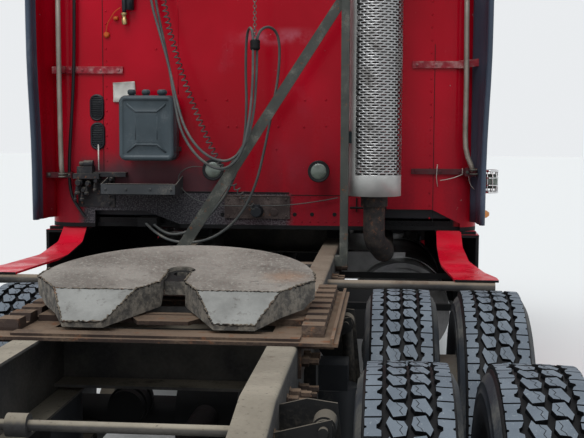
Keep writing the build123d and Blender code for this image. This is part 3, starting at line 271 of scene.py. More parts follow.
def bright(name, colour, rough, dirt, scale):
    # Bright metal with water stains and fine scratches
    s = Shader(name, rough, 1.0)
    stain = s.fade(s.noise(scale, 6), 0.5 - dirt * 0.3, 0.85)
    fine = s.noise(scale * 12, 4)
    s.base(colour, s.times(stain, 0.8), (92, 86, 78))
    s.set(Roughness=s.fade(s.plus(stain, s.times(fine, 0.25)), 0, 1.1, rough * 0.7, min(1, rough * 2.4)))
    s.set(Metallic=s.fade(stain, 0, 1, 1.0, 0.55))
    return s.done(s.plus(stain, fine), 0.1, 0.001)


def clear_glass():
    # Clear glass under a thin uneven film
    s = Shader("clear_glass", 0.06)
    s.set(Base_Color=(0.32, 0.4, 0.4, 1), Transmission_Weight=0.9, IOR=1.45)
    s.set(Roughness=s.fade(s.fade(s.noise(5, 5), 0.45, 0.8), 0, 1, 0.05, 0.3))
    return s.mat


def lens(name, colour):
    # A ribbed lamp lens
    s = Shader(name, 0.15)
    ribs = s.node("TexWave", Vector=s.coord, Scale=55.0, Distortion=0.3).outputs["Fac"]
    s.base((*colour, 1), s.fade(s.noise(30, 4), 0.4, 0.7), (*(c * 0.6 for c in colour), 1))
    s.set(Coat_Weight=0.6, Coat_Roughness=0.08, Roughness=s.fade(ribs, 0, 1, 0.15, 0.35))
    return s.done(ribs, 0.4, 0.002)


def tread_rubber():
    # Worn block tops: grey rubber with paler grains
    s = Shader("tread_rubber", 0.7)
    fine = s.noise(120, 5)
    s.base((78, 86, 94), s.fade(s.noise(6, 5), 0.3, 0.75), (99, 107, 114))
    s.over((120, 126, 129), s.fade(fine, 0.58, 0.75))
    s.set(Roughness=s.fade(fine, 0.3, 0.7, 0.6, 0.85))
    return s.done(s.plus(fine, s.times(s.noise(40, 4), 0.6)), 0.35, 0.0012)


def seat_cloth(pitch=0.004):
    # Upholstery cloth: crossed threads with a soft sheen
    s = Shader("seat_cloth", 0.9)
    across = s.node("TexWave", Vector=s.coord, Scale=0.5 / pitch, Distortion=0.6)
    along = s.node("TexWave", Vector=s.coord, Scale=0.5 / pitch, Distortion=0.6)
    along.bands_direction = "Z"
    weave = s.times(across.outputs["Fac"], along.outputs["Fac"])
    s.base((46, 48, 56), weave, (88, 90, 98))
    s.set(Sheen_Weight=0.4, Sheen_Roughness=0.5)
    return s.done(weave, 0.5, 0.0008)


def cast_plate():
    # The fifth wheel's top: pale dust over worn steel, grey ramps made paler by painted light where their
    # faces tilt more, one rust bloom on the right, and rough pitted edges
    s = Shader("cast_plate", 0.75, 0.15)
    fine = s.noise(90, 6)
    pits = s.noise(26, 8, rough=0.7)
    s.base((96, 90, 82), s.fade(s.noise(5, 7), 0.3, 0.7), (130, 124, 115))
    s.over((142, 136, 126), s.fade(fine, 0.5, 0.72))
    s.over((96, 90, 84), s.fade(s.noise(14, 6, stretch=(0.25, 1.6, 1)), 0.58, 0.75), 0.5)
    # Painted light: the more tilted ramp faces are painted paler than the plate
    lit_ramp_tone = s.mix(s.fade(s.noise(7, 6), 0.35, 0.7), (108, 108, 104), (138, 138, 133))
    s.over(lit_ramp_tone, s.fall(s.upward(), 0.9, 0.98), 0.85)
    s.over((72, 66, 60), s.fade(pits, 0.56, 0.66), 0.55)
    from_bloom = s.node("Mapping", Vector=s.coord, Location=(0.36, -2.72, -1.17)).outputs[0]
    bloom = s.node("VectorMath", Vector=from_bloom)
    bloom.operation = "LENGTH"
    s.over((140, 106, 78), s.fade(s.plus(bloom.outputs["Value"], s.times(pits, 0.12)), 0.05, 0.17, 0.6, 0.0))
    side = s.fall(s.upward(), 0.4, 0.85)
    s.over(s.mix(s.fade(pits, 0.4, 0.62), (58, 54, 50), (126, 118, 106)), side, 0.85)
    s.set(Roughness=s.fade(fine, 0.3, 0.7, 0.6, 0.9))
    return s.done(s.plus(s.times(pits, s.plus(s.times(side, 2.2), 0.35)), fine), 0.55, 0.004)


def rail_dust():
    # Chassis steel: trodden dust and brown stains on what faces up, and dark sides that are partly greasy
    # steel and partly painted shade
    s = Shader("frame_dust", 0.9)
    broad = s.noise(4, 7)
    fine = s.noise(80, 6)
    s.base((112, 104, 90), s.fade(broad, 0.3, 0.72), (146, 137, 120))
    s.over((92, 82, 70), s.fade(s.noise(9, 8, rough=0.7), 0.55, 0.68))
    s.over((78, 72, 64), s.fade(fine, 0.6, 0.75))
    s.over((98, 78, 62), s.fade(s.plus(s.place()["Y"], broad), 2.6, 3.1, 0.5, 0.0))
    # Partly painted shade: faces that don't look up take this dark colour
    side = s.mix(s.fade(broad, 0.35, 0.7), (44, 43, 43), (84, 80, 74))
    s.base(side, s.fade(s.plus(s.upward(), s.times(fine, 0.3)), 0.35, 0.85), s.body)
    s.set(Roughness=s.fade(fine, 0.3, 0.7, 0.75, 1.0))
    return s.done(s.plus(fine, s.times(broad, 2)), 0.5, 0.003)


def tank_metal():
    # Brushed tank that disappears under soot towards its rear
    s = Shader("tank_metal", 0.4, 1.0)
    stain = s.fade(s.noise(5, 6), 0.35, 0.8)
    back = s.fade(s.plus(s.place()["Y"], s.times(stain, 0.1)), 0.1, 0.5)
    dirt = s.most(stain, back)
    s.base((0.5, 0.5, 0.5, 1), s.times(stain, 0.8), (92, 86, 78))
    s.over((20, 20, 21), back)
    s.set(Metallic=s.fall(dirt, 0, 1), Roughness=s.fade(dirt, 0, 1, 0.3, 0.9))
    return s.done(s.noise(60, 4), 0.15, 0.002)


M = {
    "red": paint_red(), "fairing": fairing_red(), "frame": rail_dust(), "plate": cast_plate(),
    "tread": tread_rubber(), "tank": tank_metal(), "glass": clear_glass(), "cloth": seat_cloth(),
    "lamp_lens": lens("grey_lens", (0.115, 0.14, 0.115)),
    "amber_lens": lens("amber_lens", (0.72, 0.26, 0.03)),
}
# Colour, dust, amount of dust, roughness, metal, rust, scale, dust on top, bump
DUSTY = {
    "soot": ((9, 10, 12), (34, 33, 32), 0.35, 0.9, 0, 0, 5),
    "under": ((24, 24, 24), (96, 89, 78), 0.45, 0.88, 0, 0, 6, 0.6, 0.6),
    "wheel_steel": ((126, 126, 124), (104, 98, 88), 0.45, 0.45, 0.6, 0.2, 8),
    "grease": ((24, 22, 21), (104, 94, 80), 0.42, 0.7, 0, 0.2, 11, 0.35, 0.9),
    "base": ((50, 39, 34), (108, 90, 74), 0.5, 0.95, 0, 0.3, 7, 0.3, 0.9),
    "shelf": ((58, 61, 63), (116, 112, 104), 0.45, 0.7, 0, 0, 9),
    "shelf_edge": ((96, 94, 90), (132, 126, 116), 0.4, 0.5, 0.4, 0, 20),
    "valve": ((34, 35, 38), (100, 94, 86), 0.45, 0.7, 0, 0.2, 16, 0.35, 0.8),
    "rub": ((62, 52, 50), (112, 100, 94), 0.5, 0.7, 0.2, 0.2, 12, 0.2, 0.6),
    "strip": ((184, 184, 180), (140, 136, 128), 0.35, 0.4, 0.15, 0, 9),
    "pole": ((140, 132, 122), (112, 98, 86), 0.5, 0.5, 0.35, 0, 10),
    "bar": ((138, 22, 38), (182, 150, 146), 0.5, 0.55, 0, 0, 26),
    # The bar's red and its dust darkened as painted shade, for the lower right bar, its bolts and the clamp
    # plates
    "bar_dark": ((74, 20, 28), (70, 56, 54), 0.5, 0.6, 0, 0, 16),
    "post": ((32, 42, 46), (86, 92, 90), 0.4, 0.6, 0.2, 0.15, 11),
    "brace": ((64, 66, 62), (122, 120, 110), 0.45, 0.7, 0.1, 0.15, 13),
    "pipe": ((42, 40, 40), (88, 78, 70), 0.5, 0.95, 0, 0.3, 22, 0.1, 1.6),
    "pale_sheet": ((196, 194, 186), (140, 134, 124), 0.35, 0.6, 0.1, 0, 18, 0.1, 0.3),
}
# Colour, dust, amount of dust, scale, roughness
RUBBER = {
    # Walls and floors of the tread's channels, and the sipes: black rubber darkened further as painted shade
    "groove": ((9, 10, 12), (26, 27, 28), 0.25, 30, 0.72),
    "sidewall": ((44, 48, 53), (96, 94, 88), 0.45, 7, 0.72),
    "rubber": ((30, 32, 35), (84, 82, 78), 0.35, 9, 0.72),
    "seal": ((60, 70, 84), (98, 104, 112), 0.4, 4, 0.5),
    "hose": ((72, 75, 74), (122, 118, 108), 0.42, 12, 0.6),
    "tie": ((170, 164, 156), (130, 122, 112), 0.35, 30, 0.5),
    "wire": ((24, 25, 27), (70, 68, 64), 0.3, 20, 0.5),
    "orange": ((186, 84, 30), (120, 84, 60), 0.35, 30, 0.5),
    "can": ((62, 72, 77), (104, 110, 112), 0.42, 9, 0.5),
    "black": ((36, 39, 43), (84, 85, 84), 0.36, 9, 0.5),
    "dash": ((40, 42, 46), (70, 70, 72), 0.3, 8, 0.6),
}
# Colour, roughness, dirt, scale
BRIGHT = {
    "shield": ((0.36, 0.36, 0.36, 1), 0.4, 0.2, 9),
    "chrome": ((0.66, 0.66, 0.66, 1), 0.16, 0.28, 6),
    "mirror": ((0.8, 0.82, 0.84, 1), 0.08, 0.1, 6),
    "brass": ((0.52, 0.38, 0.17, 1), 0.4, 0.5, 30),
}
for make, table in ((dusty, DUSTY), (rubber, RUBBER), (bright, BRIGHT)):
    for name, values in table.items():
        M[name] = make(name + "_look", *values)


def wear(node, looks, pick=None):
    # Gives a CAD node its materials; pick(face) says which one each face takes
    mesh = NODES[node].data
    mesh.materials.clear()
    for look in looks.split():
        mesh.materials.append(M[look])
    for face in mesh.polygons:
        face.material_index = int(pick(face)) if pick else 0


LOOKS = {
    "red": ["cab_back_wall", "cab_front", "cab_roof", "cab_sides", "door_left", "door_right", "hood_shell"],
    "fairing": ["hood_fenders"],
    "frame": ["frame_rails", "crossmembers", "hood_hinges"],
    "under": ["springs_and_arms", "knuckle_left", "knuckle_right", "tie_rod", "shock_absorbers"],
    "soot": ["axles", "powertrain", "cab_floor"],
    "plate": ["fifth_wheel_plate"],
    "base": ["fifth_wheel_base", "fifth_wheel_slider"],
    "rubber": ["air_springs", "mud_flaps"],
    "black": ["mirror_left", "mirror_right", "grille"],
    "chrome": ["bumper"],
    "tank": ["tanks"],
    "pipe": ["exhaust_stack"],
    "glass": ["fixed_windows", "door_glass_left", "door_glass_right", "headlamps"],
    "dash": ["dashboard"],
    "wheel_steel": [n for n in NODES if n.startswith("rim")],
}
BRACKET_Z = 0.9


def unseen_side(face):
    # Brackets to the rail, and the inner and rear faces of the skirts
    inward = face.normal.x * face.center.x < 0 and abs(face.normal.x) > 0.5 and face.center.y < 0.9
    bracket = face.center.z < BRACKET_Z and abs(face.center.x) < 1.0
    return inward or bracket or face.normal.y > 0.97


for look, names in LOOKS.items():
    for name in names:
        wear(name, look)
wear("exhaust_post", "post brace", lambda face: face.center.y > EXHAUST.y + 0.09)
wear("kingpin_jaws", "soot plate", lambda face: face.normal.y > 0.7 and face.center.z > 1.1)
wear("chassis_fairings", "fairing soot", unseen_side)


# Mesh making: the places that a piece takes count from its origin, as a rule the foot of the cab's wall
def angles(steps, start=0.0):
    return [2 * pi * (i + start) / steps for i in range(steps)]


def hoop(centre, u, v, steps):
    # Points round an ellipse with the half axes u and v, back to where they start
    u, v = Vector(u), Vector(v)
    return [Vector(centre) + u * cos(a) + v * sin(a) for a in angles(steps) + [2 * pi]]


def rounded(x0, x1, z0, z1, r, y, steps=7):
    # A rounded rectangle at the distance y behind the wall
    ring = []
    corners = ((x1 - r, z1 - r), (x0 + r, z1 - r), (x0 + r, z0 + r), (x1 - r, z0 + r))
    for corner, (cx, cz) in enumerate(corners):
        for k in range(steps):
            a = radians(90 * corner + 90 * k / (steps - 1))
            ring.append((cx + r * cos(a), y, cz + r * sin(a)))
    return ring


def thicken(obj, thickness, offset):
    skin = obj.modifiers.new("skin", "SOLIDIFY")
    skin.thickness = thickness
    skin.offset = offset


class Piece:
    def __init__(self, origin=(0, CAB_BACK, 0)):
        self.bm = bmesh.new()
        self.origin = Vector(origin)

    def vert(self, place):
        return self.bm.verts.new(self.origin + Vector(place))

    def face(self, verts, look=0, smooth=False):
        made = self.bm.faces.new(verts)
        made.material_index = look
        made.smooth = smooth

    def loft(self, rings, look=0, smooth=True):
        # Closed rings joined one to the next, with a flat end on the first and the last
        loops = [[self.vert(p) for p in ring] for ring in rings]
        self.face(loops[0][::-1], look)
        self.face(loops[-1], look)
        n = len(loops[0])
        for one, two in zip(loops, loops[1:]):
            for i in range(n):
                self.face((one[i], one[(i + 1) % n], two[(i + 1) % n], two[i]), look, smooth)

    def lathe(self, profile, centre, axis=BACK, steps=20, look=0):
        # profile holds (distance along the axis, radius)
        centre, axis = Vector(centre), Vector(axis).normalized()
        u = axis.orthogonal().normalized()
        v = axis.cross(u)
        spokes = [u * cos(a) + v * sin(a) for a in angles(steps)]
        rings = [[centre + axis * along + spoke * r for spoke in spokes] for along, r in profile]
        self.loft(rings, look, steps > 6)

    def prism(self, outline, place, u, v, depth, look=0):
        # A closed extrusion of an outline given in the directions u and v
        place, u, v = Vector(place), Vector(u), Vector(v)
        out = u.cross(v) * depth
        foot = [place + u * a + v * b for a, b in outline]
        self.loft([foot, [p + out for p in foot]], look, False)

    def block(self, low, high, look=0):
        x, y, z = (b - a for a, b in zip(low, high))
        self.prism([(0, 0), (x, 0), (x, y), (0, y)], low, ACROSS, BACK, z, look)

    def tube(self, points, radius, sides=8, look=0):
        points = [Vector(p) for p in points]
        ways = [(b - a).normalized() for a, b in zip(points, points[1:])]
        side = ways[0].orthogonal().normalized()
        rings = []
        for i, p in enumerate(points):
            way = ways[0] if i == 0 else ways[-1] if i == len(ways) else (ways[i - 1] + ways[i]).normalized()
            side = (side - way * side.dot(way)).normalized()
            up = way.cross(side)
            rings.append([p + (side * cos(a) + up * sin(a)) * radius for a in angles(sides)])
        self.loft(rings, look)

    def bolt(self, place, size, axis=BACK, look=0, shank=0.0):
        # Washer, hexagon head, and a nut's length of thread where shank is given
        self.lathe([(0, size * 1.25), (size * 0.22, size * 1.25)], place, axis, 14, look)
        head = [(size * 0.22, size), (size * 1.05, size), (size * 1.2, size * 0.82)]
        self.lathe(head, place, axis, 6, look)
        if shank:
            self.lathe([(size, size * 0.5), (size + shank, size * 0.5)], place, axis, 10, look)

    def bolts(self, spots, out, size, look=0):
        for x, z in spots:
            self.bolt((x, out, z), size, look=look)

    def rivets(self, spots, r, out=0.0, look=0):
        for x, z in spots:
            self.lathe([(0, r), (r * 0.35, r * 0.92), (r * 0.6, r * 0.5), (r * 0.66, r * 0.12)], (x, out, z),
                       BACK, 8, look)

    def finish(self, name, looks, body="chassis", bevel=0.0, replaces=None):
        mesh = bpy.data.meshes.new(name)
        self.bm.normal_update()
        self.bm.to_mesh(mesh)
        self.bm.free()
        for look in looks.split():
            mesh.materials.append(M[look])
        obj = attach(add_object(name, mesh), body)
        if bevel:
            soften = obj.modifiers.new("edges", "BEVEL")
            soften.width = bevel
            soften.segments = 2
            soften.limit_method = "ANGLE"
            soften.angle_limit = radians(50)
        if replaces:
            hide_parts(replaces)
        return obj


# Tyres: a turned casing, two middle rows of interlocking blocks and a notched rib on each shoulder
PITCHES = 51
ROW_X = 0.0304
ROW_SHIFT = 0.008
GROOVE_R = 0.493
TREAD_DEPTH = 0.015
DRAFT = 0.0022
CASING = [
    (0.105, RIM_R + 0.0005), (0.1065, RIM_R + 0.014), (0.1125, RIM_R + 0.018), (0.1165, 0.312),
    (0.1165, 0.316), (0.1225, 0.328), (0.131, 0.35), (0.1375, 0.38), (TYRE_HALF, 0.41), (0.1388, 0.432),
    (0.1398, 0.434), (0.1396, 0.438), (0.1375, 0.44), (0.1345, 0.462), (0.1357, 0.464), (0.1353, 0.468),
    (0.1325, 0.47), (0.125, 0.487), (0.1185, GROOVE_R), (0.113, 0.503), (0.06, 0.505), (0.0, 0.506),
]
# Outlines in millimetres, as (x, arc length)
BLOCK = [(20, 36), (10, 23), (-18, 20), (-28, 0), (-22, -28), (10, -34), (29, 14)]
SIPE = [(-14, -24), (-6, -10), (-13, 2), (-2, 12), (2, 21)]
RIB = [(67, -31), (67, -12), (79, -6), (79, 8), (72, 14), (67, 31)]
RIB += [(112, 31), (112, 5), (107, 3), (107, -3), (112, -5), (112, -31)]


def turn_casing(tyre):
    profile = CASING + [(-x, r) for x, r in CASING[-2::-1]]
    rings = [[tyre.vert((x, r * cos(a), r * sin(a))) for x, r in profile] for a in angles(120)]
    for one, two in zip(rings, rings[1:] + rings[:1]):
        for j in range(len(profile) - 1):
            outer = min(profile[j][1], profile[j + 1][1]) > GROOVE_R - 0.001
            tyre.face((one[j], two[j], two[j + 1], one[j + 1]), 1 if outer else 2, True)
        tyre.face((one[-1], two[-1], two[0], one[0]), 2)


def crown(x):
    return TYRE_R - 0.0035 * (abs(x) / 0.112) ** 2


def on_tread(tyre, x, arc, angle, r):
    a = angle + arc / TYRE_R
    return tyre.vert((x, r * cos(a), r * sin(a)))


def tread_block(tyre, outline, angle):
    # The walls lean in towards the top, and the top is a shallow fan
    n = len(outline)
    cx, ct = (sum(values) / n for values in zip(*outline))
    foot, top = [], []
    for x, t in outline:
        lean = DRAFT / max(0.01, hypot(cx - x, ct - t))
        px, pt = x + (cx - x) * lean, t + (ct - t) * lean
        foot.append(on_tread(tyre, x, t, angle, crown(x) - TREAD_DEPTH))
        top.append(on_tread(tyre, px, pt, angle, crown(px)))
    hub = on_tread(tyre, cx, ct, angle, crown(cx))
    for i in range(n):
        j = (i + 1) % n
        tyre.face((top[i], top[j], hub))
        tyre.face((foot[i], foot[j], top[j], top[i]), 1)


def sipe(tyre, points, angle, half=0.0009, depth=0.003):
    # A thin zigzag let into a block, painted dark as shade
    rows = []
    for x, t in points:
        r = crown(x) + 0.0004
        corners = ((-half, r), (half, r), (half, r - depth), (-half, r - depth))
        rows.append([on_tread(tyre, x + dx, t, angle, height) for dx, height in corners])
    for one, two in zip(rows, rows[1:]):
        for k in range(4):
            tyre.face((one[k], two[k], two[(k + 1) % 4], one[(k + 1) % 4]), 1)
    tyre.face(rows[0], 1)
    tyre.face(rows[-1], 1)


def both_rows(outline):
    # The left row's outline, and the same turned round and shifted along for the right row
    left = [(x / 1000 + ROW_X, t / 1000) for x, t in outline]
    return left, [(-x, ROW_SHIFT - t) for x, t in left]


def make_tyre(tyre):
    turn_casing(tyre)
    rib = [(x / 1000, t / 1000) for x, t in RIB]
    for a in angles(PITCHES):
        for outline in (*both_rows(BLOCK), rib, [(-x, -t) for x, t in rib]):
            tread_block(tyre, outline, a)
        for cut in both_rows(SIPE):
            sipe(tyre, cut, a)


NUTS = 10
NUT_RING = 0.143
FRONT_FACE = 1.095
REAR_FACE = 0.93


def make_wheel(axle, side, y, centres, face_x):
    # The tyres on one hub, and the nuts with washers on its disc
    name = axle + ("_left" if side > 0 else "_right")
    many = "s" if len(centres) > 1 else ""
    body = "wheel%s_%s" % (many, name)
    tyre = Piece()
    for x in centres:
        tyre.origin = Vector((side * x, y, TYRE_R))
        make_tyre(tyre)
    bmesh.ops.recalc_face_normals(tyre.bm, faces=tyre.bm.faces)
    replaced = "tyre%s_%s" % (many, name)
    tyre.finish("tread_" + name, "tread groove sidewall", body, replaces=replaced)
    nuts = Piece((side * face_x, y, TYRE_R))
    for a in angles(NUTS, 0.5):
        nuts.bolt((0, NUT_RING * cos(a), NUT_RING * sin(a)), 0.0155, (side, 0, 0), shank=0.01)
    nuts.finish("nuts_" + name, "chrome", body, 0.0008)


for side in (1, -1):
    make_wheel("front", side, AXLE_F, [FRONT_TYRE_X], FRONT_FACE)
    make_wheel("1", side, AXLE_1, [DUAL_IN, DUAL_OUT], REAR_FACE)
    make_wheel("2", side, AXLE_2, [DUAL_IN, DUAL_OUT], REAR_FACE)


# Exhaust shield: a rolled sheet with staggered slots, a plain strip along its seam and a plain band below
SHIELD_R = 0.135
SHIELD_SKIN = 0.002
BAND_LOW, SLOTS_LOW, SHIELD_TOP = 1.335, 1.44, 3.35
COLUMNS = 20
SLOTTED = 17
COLUMN = 2 * pi / COLUMNS
STRIP = 2.5 * COLUMN
ROW_PITCH = 0.0131
SLOT_HALF = 0.003
SLOT_ENDS = 0.115


def make_shield():
    shield = Piece(EXHAUST)

    def point(a, z):
        return shield.vert((SHIELD_R * cos(a), SHIELD_R * sin(a), z))

    def plain(a, z0, z1, quarters):
        for k in range(quarters):
            b0, b1 = a + k * COLUMN / 4, a + (k + 1) * COLUMN / 4
            shield.face((point(b0, z0), point(b1, z0), point(b1, z1), point(b0, z1)))

    def slotted(a, z0):
        along = (0, 0.25, 0.5, 0.75, 1)
        cut = (SLOT_ENDS, 0.22, 0.5, 0.78, 1 - SLOT_ENDS)
        rise = (0.45, 1, 1, 1, 0.45)
        mid = z0 + ROW_PITCH / 2
        outer = [point(a + u * COLUMN, z0) for u in along]
        outer += [point(a + u * COLUMN, z0 + ROW_PITCH) for u in along[::-1]]
        inner = [point(a + u * COLUMN, mid - h * SLOT_HALF) for u, h in zip(cut, rise)]
        inner += [point(a + u * COLUMN, mid + h * SLOT_HALF) for u, h in zip(cut[::-1], rise)]
        for i in range(len(outer)):
            j = (i + 1) % len(outer)
            shield.face((outer[i], outer[j], inner[j], inner[i]))

    plain(0, BAND_LOW, SLOTS_LOW, 4 * COLUMNS)
    rows = int((SHIELD_TOP - 0.05 - SLOTS_LOW) / ROW_PITCH)
    for i in range(rows):
        z = SLOTS_LOW + i * ROW_PITCH
        late = i % 2
        plain(0, z, z + ROW_PITCH, 10 + 2 * late)
        for c in range(SLOTTED):
            slotted(STRIP + (c + late / 2) * COLUMN, z)
        if not late:
            plain(STRIP + SLOTTED * COLUMN, z, z + ROW_PITCH, 2)
    plain(0, SLOTS_LOW + rows * ROW_PITCH, SHIELD_TOP, 4 * COLUMNS)
    bmesh.ops.remove_doubles(shield.bm, verts=shield.bm.verts, dist=0.0001)
    sheet = shield.finish("slotted_shield", "shield strip", replaces="exhaust_shield")
    for face in sheet.data.polygons:
        turn = atan2(face.center.y - EXHAUST.y, face.center.x - EXHAUST.x) % (2 * pi)
        face.material_index = int(turn < STRIP or face.center.z < SLOTS_LOW)
        face.use_smooth = True
    thicken(sheet, SHIELD_SKIN, -1)


make_shield()


# Cords: the same points as part.py's, in metres, as (x, distance behind the cab wall, z)
HOSE_A = [
    (0.59, 0.07, 2.5), (0.565, 0.095, 2.34), (0.505, 0.14, 2.165), (0.445, 0.2, 1.99),
    (0.395, 0.265, 1.815), (0.335, 0.34, 1.655), (0.23, 0.388, 1.535), (0.105, 0.403, 1.495),
    (0.015, 0.398, 1.585), (-0.02, 0.368, 1.745), (-0.027, 0.325, 1.925), (-0.028, 0.314, 2.04),
    (-0.028, 0.314, 2.151), (-0.079, 0.252, 2.197), (-0.13, 0.19, 2.151), (-0.128, 0.18, 1.97),
    (-0.092, 0.162, 1.775), (-0.05, 0.152, 1.57), (-0.005, 0.15, 1.375), (0.085, 0.15, 1.195),
    (0.245, 0.148, 1.075), (0.424, 0.14, 1.062), (0.54, 0.122, 1.108), (0.615, 0.055, 1.166),
]
HOSE_B = [
    (0.56, 0.035, 2.5), (0.548, 0.06, 2.345), (0.5, 0.105, 2.17), (0.452, 0.165, 1.99),
    (0.412, 0.23, 1.815), (0.365, 0.305, 1.65), (0.265, 0.362, 1.515), (0.14, 0.38, 1.452),
    (0.035, 0.42, 1.53), (-0.004, 0.408, 1.715), (-0.012, 0.352, 1.9), (-0.012, 0.34, 2.03),
    (-0.012, 0.34, 2.146), (0.015, 0.265, 2.192), (0.042, 0.19, 2.146), (0.05, 0.165, 1.97),
    (0.046, 0.14, 1.775), (0.062, 0.132, 1.575), (0.12, 0.13, 1.385), (0.225, 0.13, 1.228),
    (0.365, 0.128, 1.112), (0.5, 0.116, 1.103), (0.578, 0.05, 1.166),
]
CURLY = [
    (0.52, 0.095, 2.5), (0.492, 0.125, 2.325), (0.405, 0.17, 2.01), (0.3, 0.205, 1.74),
    (0.19, 0.21, 1.5), (0.09, 0.17, 1.345), (0.005, 0.06, 1.235),
]
# Thin wires, which only the scene has
LOOP = [
    (0.286, 0.02, 1.459), (0.33, 0.035, 1.47), (0.39, 0.045, 1.458), (0.433, 0.045, 1.42),
    (0.425, 0.045, 1.36), (0.37, 0.045, 1.305), (0.29, 0.04, 1.268), (0.177, 0.035, 1.255),
    (0.0, 0.035, 1.258), (-0.163, 0.035, 1.262), (-0.33, 0.03, 1.285), (-0.43, 0.02, 1.305),
]
ORANGE = [
    (0.742, 0.03, 2.314), (0.775, 0.03, 2.295), (0.8, 0.025, 2.255), (0.822, 0.02, 2.225),
    (0.826, 0.016, 2.185),
]
CONDUIT = [
    (0.994, 0.03, 2.6), (0.996, 0.03, 2.3), (1.003, 0.03, 1.96), (1.02, 0.03, 1.7),
    (1.034, 0.03, 1.52), (1.036, 0.03, 1.36), (1.012, 0.03, 1.265), (0.95, 0.025, 1.185),
]
HOSE_R = 0.007
COIL_WIRE_R, COIL_R, COIL_PITCH, COIL_ENDS = 0.0035, 0.0135, 0.031, 0.03


def behind_cab(places):
    return [(x, CAB_BACK + back, z) for x, back, z in places]


def spline(name, points, radius):
    curve = bpy.data.curves.new(name, "CURVE")
    curve.dimensions = "3D"
    line = curve.splines.new("NURBS")
    line.points.add(len(points) - 1)
    for point, place in zip(line.points, points):
        point.co = (*place, 1)
    line.order_u = 3
    line.use_endpoint_u = True
    curve.resolution_u = 10
    curve.bevel_depth = radius
    curve.bevel_resolution = 4
    curve.use_fill_caps = True
    return add_object(name, curve)


def run_length(points):
    return sum((Vector(b) - Vector(a)).length for a, b in zip(points, points[1:]))


def read_line(points):
    # The points that the spline through these control points runs along
    guide = spline("guide", points, 0)
    guide.data.resolution_u = 24
    bpy.context.view_layer.update()
    mesh = bpy.data.meshes.new_from_object(guide)
    line = [v.co.copy() for v in mesh.vertices]
    bpy.data.objects.remove(guide)
    bpy.data.meshes.remove(mesh)
    return line


def add_cord(name, points, radius, look, replaces=None):
    cord = spline(name, points, radius)
    cord.data.materials.append(M[look])
    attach(cord, "chassis")
    if replaces:
        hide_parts(replaces)
    length = run_length(read_line(points))
    return cord


def helix(line):
    # Turns of the curly cord along its line, tapering to nothing at both ends
    total = run_length(line)
    per_turn = 12
    steps = int(total / COIL_PITCH) * per_turn
    lengths = [0]
    for a, b in zip(line, line[1:]):
        lengths.append(lengths[-1] + (b - a).length)
    points = []
    k = 0
    for i in range(steps + 1):
        d = total * i / steps
        while k < len(line) - 2 and lengths[k + 1] < d:
            k += 1
        centre = line[k].lerp(line[k + 1], (d - lengths[k]) / (lengths[k + 1] - lengths[k]))
        along = (line[k + 1] - line[k]).normalized()
        side = along.cross(Vector(BACK)).normalized()
        up = side.cross(along)
        a = 2 * pi * i / per_turn
        taper = max(0.0, min(1, d / COIL_ENDS, (total - d) / COIL_ENDS))
        points.append(centre + (side * cos(a) + up * sin(a)) * COIL_R * taper)
    return points


def make_cords():
    for name, places, replaced in (("upper", HOSE_A, "air_hoses"), ("lower", HOSE_B, None)):
        route = behind_cab(places)
        add_cord("air_hose_" + name, route, HOSE_R, "hose", replaces=replaced)
    route = behind_cab(CURLY)
    lead = add_cord("curly_lead", helix(read_line(route)), COIL_WIRE_R, "hose",
                    "curly_cord")
    lead.data.resolution_u = 3
    lead.data.bevel_resolution = 2


def make_wires():
    for name, places, radius, look in (
        ("thin_wire", LOOP, 0.0025, "hose"),
        ("orange_wire", ORANGE, 0.002, "orange"),
        ("side_conduit", CONDUIT, 0.009, "wire"),
    ):
        route = behind_cab(places)
        add_cord(name, route, radius, look)


make_cords()


# Side extenders: a fold of black rubber along each rear corner of the cab, shallow at the lip
EXT_LOW, EXT_BEND, EXT_TOP = 1.18, 2.35, 3.5
EXT_LEVELS = (EXT_LOW, 1.3, 1.45, 1.6, 1.75, 1.9, 2.05, 2.2, EXT_BEND, 2.6, 2.9, 3.2, EXT_TOP)


def make_extender(name, side):
    fold = Piece()
    rings = []
    for z in EXT_LEVELS:
        lip = 1.173 + 0.025 * (min(z, 2.65) - EXT_LOW) + 0.003 * sin(z * 7)
        lean = 0.15 * max(0, z - EXT_BEND) / (EXT_TOP - EXT_BEND)
        plan = [
            (1.1, -0.13), (1.14, -0.13), (1.172, -0.02), (lip + 0.006, 0.06), (lip + 0.001, 0.085),
            (lip + 0.01, 0.115), (lip + 0.019, 0.15), (lip + 0.016, 0.18), (lip + 0.004, 0.192),
            (lip - 0.01, 0.182), (lip - 0.012, 0.155), (lip - 0.004, 0.125), (lip - 0.015, 0.1),
            (lip - 0.018, 0.06), (1.158, 0.012), (1.14, -0.02),
        ]
        rings.append([(side * (x - lean), y, z) for x, y in plan])
    fold.loft(rings)
    extender = fold.finish("extender_" + name, "seal red", replaces="cab_extenders")
    for face in extender.data.polygons:
        inner = face.center.x * side < 1.19 and face.normal.x * side < 0
        face.material_index = int(inner and face.center.y < CAB_BACK + 0.09)


make_extender("left", 1)
make_extender("right", -1)


# Grab poles on their chipped red bars, clamped at the foot with U-bolts
POLE_BACK, POLE_R = 0.09, 0.0135
POLE_TOP = 2.56
POLE_LEFT = [(1.067, POLE_TOP), (1.067, 2.2), (1.066, 1.9), (1.063, 1.6), (1.06, 1.47), (1.056, 1.41)]
POLE_RIGHT = [(-1.085, POLE_TOP), (-1.088, 2.2), (-1.092, 1.9), (-1.091, 1.64), (-1.094, 1.58)]
POLE_RIGHT += [(-1.105, 1.53), (-1.122, 1.49), (-1.135, 1.455)]
BAR_OUT = 0.014
CLAMP_OUT = 0.05


def channel(piece, x0, x1, z0, z1, out, look=0, skin=0.003):
    # A pressed channel lying along the wall
    piece.block((x0, out - skin, z0), (x1, out, z1), look)
    piece.block((x0, 0, z0), (x1, out - skin, z0 + skin), look)
    piece.block((x0, 0, z1 - skin), (x1, out - skin, z1), look)


